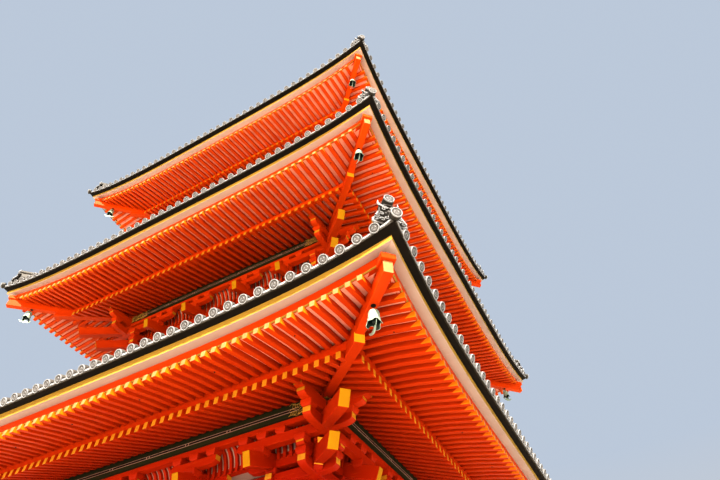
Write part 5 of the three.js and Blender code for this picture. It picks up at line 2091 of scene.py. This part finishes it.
@dataclass
class Finial:
    """Cast bronze finial: basin, bowl, nine rings on the mast, flame plates and two jewels."""

    low: float = 20.05
    basin_half: float = 0.45
    basin_height: float = 0.42
    mast_low: float = 21.06
    mast_high: float = 26.35
    ring_pitch: float = 0.56
    ring_outer: Pair = (0.47, 0.32)
    ring_height: float = 0.13
    jewels: Pair = (1.28, 1.68)

    def basin(self) -> Form:
        """Return the square basin with its rims and panels, the bowl and the petalled cup."""
        half, low = self.basin_half, self.low
        top = low + self.basin_height
        form = Form().add(*block((-half, -half, low), (half, half, top)), FINIAL_BRONZE)
        side = Form()
        rims = ((0.5, top - 0.07, top), (0.475, top - 0.1, top - 0.07), (0.47, low, low + 0.05))
        for reach, bottom, crest in rims:
            side.add(*mitred(reach, half - 0.02, bottom, crest), FINIAL_BRONZE)
        for x in (-0.225, 0.225):
            for inset in (0.19, 0.13):
                proud = 0.008 if inset > 0.15 else 0.016
                corner = (x - inset, -half - proud, low + 0.26 - inset)
                side.add(*block(corner, (x + inset, -half, low + 0.12 + inset)), FINIAL_BRONZE)
        form.merge(side.on_four_sides())
        bowl = [(0, -0.01), (0.37, -0.01), (0.37, 0.02), (0.355, 0.03), (0.35, 0.12), (0.32, 0.21)]
        bowl += [(0.26, 0.28), (0.18, 0.33), (0.11, 0.345), (0.11, 0.40), (0, 0.41)]
        form.merge(Form().add(*turned(bowl, 48), FINIAL_BRONZE), shift(z=top))
        turn = np.arange(64) * math.pi / 32
        profile = [(0.11, 0.39), (0.17, 0.43), (0.26, 0.49), (0.33, 0.55), (0.345, 0.585), (0.3, 0.59)]
        profile += [(0.1, 0.56)]
        cup = []
        for radius, z in profile:
            petals = radius * (1 - 0.12 * (radius / 0.34) ** 2 * (1 - np.abs(np.cos(4 * turn))))
            cup.append([around(r, a, top + z) for r, a in zip(petals, turn)])
        return form.add(*loft(cup), FINIAL_BRONZE)

    def rings(self) -> Form:
        """Return the mast with its collars and the nine spoked rings with their small bells."""
        mast = [(0, self.mast_low), (0.07, self.mast_low)]
        form = Form()
        profile = [(0, -0.075), (0.025, -0.072), (0.018, -0.02), (0, -0.004)]
        tiny = Form().add(*turned(profile, 10), FINIAL_BRONZE)
        for number in range(9):
            radius = self.ring_outer[0] + (self.ring_outer[1] - self.ring_outer[0]) * number / 8
            low = self.mast_low + 0.2 + number * self.ring_pitch
            high = low + self.ring_height
            mast += [(0.07, low - 0.02), (0.1, low), (0.1, high), (0.07, high + 0.02)]
            section = [(radius - 0.036, 0.0), (radius - 0.006, 0.0), (radius, 0.02), (radius, 0.11)]
            section += [(radius - 0.006, self.ring_height), (radius - 0.036, self.ring_height)]
            circle = [[around(r, a, low + z) for r, z in section] for a in np.arange(48) * math.pi / 24]
            form.add(*loft(circle, closed=True), FINIAL_BRONZE)
            for turn in range(8):
                spin = Matrix.Rotation(turn * math.pi / 4, 4, "Z")
                spoke = block((0.06, -0.018, low + 0.04), (radius - 0.02, 0.018, low + 0.09))
                form.merge(Form().add(*spoke, FINIAL_BRONZE), spin)
                form.merge(tiny, spin @ shift(radius - 0.018, 0, low))
        mast += [(0.07, self.mast_high), (0, self.mast_high)]
        return form.add(*turned(mast, 24), FINIAL_BRONZE)

    def flames(self) -> Form:
        """Return the edges and tendrils of the four flame plates and the smooth jewels."""
        side = Form()
        start = np.array((0.03, 0.06))
        edge = [start]
        for pull, end in (
            ((0.42, 0.12), (0.40, 0.43)),
            ((0.39, 0.64), (0.25, 0.76)),
            ((0.28, 0.90), (0.17, 1.08)),
            ((0.15, 0.96), (0.03, 0.90)),
        ):
            pull, end = np.array(pull), np.array(end)
            for t in np.linspace(0.125, 1, 8):
                edge.append((1 - t) ** 2 * start + 2 * t * (1 - t) * pull + t * t * end)
            start = end
        side.add(*rope([(x, 0, self.mast_high + z) for x, z in edge], 0.018, 8), FINIAL_BRONZE)
        middle = self.mast_high + 0.4
        turn = np.arange(24) * math.pi / 12
        hole = [(0.185 + 0.095 * math.cos(a), 0, middle + 0.17 * math.sin(a)) for a in turn]
        side.add(*rope(hole, 0.015, 8, closed=True), FINIAL_BRONZE)
        for x, z, size in ((0.33, 0.30, 0.055), (0.27, 0.66, 0.05), (0.12, 0.80, 0.05), (0.10, 0.18, 0.045)):
            curl = []
            for step in range(14):
                aside, up, _ = around(size * (1 - step / 16), step * 0.6, 0.0)
                curl.append((x + aside, 0, self.mast_high + z + up))
            side.add(*rope(curl, 0.014, 6), FINIAL_BRONZE)
        form = side.on_four_sides()
        profile = [(0, -0.132), (0.07, -0.122), (0.118, -0.08), (0.142, -0.02), (0.143, 0.02), (0.12, 0.07)]
        profile += [(0.08, 0.11), (0.035, 0.135), (0.01, 0.155), (0, 0.16)]
        jewel = Form().add(*turned(profile, 32), FINIAL_BRONZE)
        for height in self.jewels:
            form.merge(jewel, shift(z=self.mast_high + height))
        return form

    def build(self) -> None:
        """Make the pieces of the finial."""
        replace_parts(self.basin().to_piece("finial_basin", bevel=0.004), "finial_base")
        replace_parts(self.rings().to_piece("finial_nine_rings"), "finial_rings")
        self.flames().to_piece("finial_flame_edges")


@dataclass
class Studio:
    """Camera, lights and floor."""

    lens_mm: float = 24.04
    sensor_mm: float = 36.0
    eye: Point = (7.404, -9.656, 1.7675)
    right: Point = (0.880, 0.474, -0.019)
    up: Point = (0.377, -0.675, 0.634)
    sun_strength: float = 12.0
    sun_angle: float = 1.2
    sun_colour: str = "#FFF4E4"
    sun_from: Point = (0.34, -0.71, 0.617)
    bounce_watts: float = 8000.0
    bounce_size: Pair = (30.0, 12.0)
    bounce_colour: str = "#FFD2A0"
    bounce_place: Point = (8.0, -27.0, 1.2)
    bounce_from: Point = (0.25, -0.62, -0.74)
    horizon: str = "#ECE8E2"
    zenith: str = "#D6E2F2"
    sky_band: Pair = (0.03, 0.4)
    sky_strength: float = 0.66
    gamma: float = 0.82
    exposure: float = 0.35
    floor_half: float = 700.0
    floor_colour: str = "#E4DCCF"
    floor_low: float = 0.002

    def build(self) -> None:
        """Make the camera at the photographer's eye, a low warm sun, a pale sky and a pale floor."""
        self.camera()
        self.sun()
        self.bounce()
        self.sky()
        self.floor()

    @staticmethod
    def put(name: str, data: bpy.types.ID, matrix: Matrix) -> bpy.types.Object:
        """Put a camera, a light or a mesh in the scene.

        Args:
            name: Name of the object.
            data: What it shows or does.
            matrix: Where it goes.

        Returns:
            The new object.
        """
        made = bpy.data.objects.new(name, data)
        made.matrix_world = matrix
        bpy.context.scene.collection.objects.link(made)
        return made

    def camera(self) -> None:
        """Make the camera."""
        data = bpy.data.cameras.new("camera")
        data.lens = self.lens_mm
        data.sensor_width = self.sensor_mm
        data.clip_start = 0.1
        data.clip_end = 1000
        right = Vector(self.right).normalized()
        up = Vector(self.up)
        up = (up - up.dot(right) * right).normalized()
        turn = Matrix((right, up, right.cross(up))).transposed().to_4x4()
        bpy.context.scene.camera = self.put("camera", data, Matrix.Translation(self.eye) @ turn)

    def sun(self) -> None:
        """Make the low warm sun."""
        data = bpy.data.lights.new("sun", "SUN")
        data.energy = self.sun_strength
        data.angle = math.radians(self.sun_angle)
        data.color = linear(self.sun_colour)[:3]
        self.put("sun", data, toward((0, -30, 40), Vector(self.sun_from)))

    def bounce(self) -> None:
        """Make the broad warm light that the ground in the sun throws up under the eaves."""
        data = bpy.data.lights.new("warm_bounce", "AREA")
        data.shape = "RECTANGLE"
        data.size, data.size_y = self.bounce_size
        data.energy = self.bounce_watts
        data.color = linear(self.bounce_colour)[:3]
        self.put("warm_bounce", data, toward(self.bounce_place, Vector(self.bounce_from)))

    def sky(self) -> None:
        """Make the pale sky, bluer towards its top, and set the picture's tone."""
        world = bpy.data.worlds.new("pale_sky")
        world.use_nodes = True
        tree = world.node_tree
        height = add_node(tree, "SeparateXYZ", {0: add_node(tree, "TexCoord", output="Generated")}, 2)
        sky = mix(tree, map_range(tree, height, self.sky_band), linear(self.horizon), linear(self.zenith))
        background = tree.nodes["Background"]
        tree.links.new(sky, background.inputs["Color"])
        background.inputs["Strength"].default_value = self.sky_strength
        scene = bpy.context.scene
        scene.world = world
        scene.view_settings.view_transform = "Standard"
        scene.view_settings.gamma = self.gamma
        scene.view_settings.exposure = self.exposure

    def floor(self) -> None:
        """Make the pale floor, which also throws light up under the eaves."""
        half = self.floor_half
        corners = [(-half, -half, 0), (half, -half, 0), (half, half, 0), (-half, half, 0)]
        mesh = bpy.data.meshes.new("floor")
        mesh.from_pydata(corners, [], [(0, 1, 2, 3)])
        made = bpy.data.materials.new("pale_floor")
        made.use_nodes = True
        shader = made.node_tree.nodes["Principled BSDF"]
        shader.inputs["Base Color"].default_value = linear(self.floor_colour)
        shader.inputs["Roughness"].default_value = 0.9
        mesh.materials.append(made)
        floor = self.put("floor", mesh, shift(z=-self.floor_low))


FINISH_OF_SLOT = {
    "stone": DRESSED_GRANITE,
    "floor_boards": FLOOR_BOARD,
    "vermilion_timber": VERMILION,
    "plaster": LIME_PLASTER,
    "door_timber": DOOR_PAINT,
    "green_timber": GREEN_PAINT,
    "roof_tile": SMOKED_TILE,
    "bell_bronze": BELL_BRONZE,
    "finial_bronze": FINIAL_BRONZE,
}


def dress_nodes() -> None:
    """Give every CAD node the finish of its slot."""
    for row in frame["record"]["subparts"]:
        mesh = frame["nodes"][row["node"]].data
        mesh.materials.clear()
        mesh.materials.append(FINISH_OF_SLOT[row["material_slot"]].material())


def main() -> None:
    """Build the pagoda's looks round the frame."""
    logging.basicConfig(level=logging.INFO, format="%(name)s %(message)s")
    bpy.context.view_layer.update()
    Studio().build()
    dress_nodes()
    storeys = [
        Storey(number=1, sag=0.225, base=1.0, column_radius=0.18),
        Storey(number=2, sag=0.200, base=8.52, column_radius=0.16),
        Storey(number=3, sag=0.300, base=13.44, column_radius=0.15),
    ]
    roof_tops = [(8.10, 2.42), (13.06, 2.16), (20.05, 0.42)]
    for storey, (top_z, top_half) in zip(storeys, roof_tops):
        Eaves(storey).build()
        TileRoof(storey, top_z=top_z, top_half=top_half).build()
        Brackets(storey).build()
        Purlins(storey).build()
        Bells(storey).build()
        Body(storey).build()
    for storey in storeys[1:]:
        Balcony(storey).build()
    Podium().build()
    Finial().build()
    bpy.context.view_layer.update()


if __name__ == "__main__":
    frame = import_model()
    main()
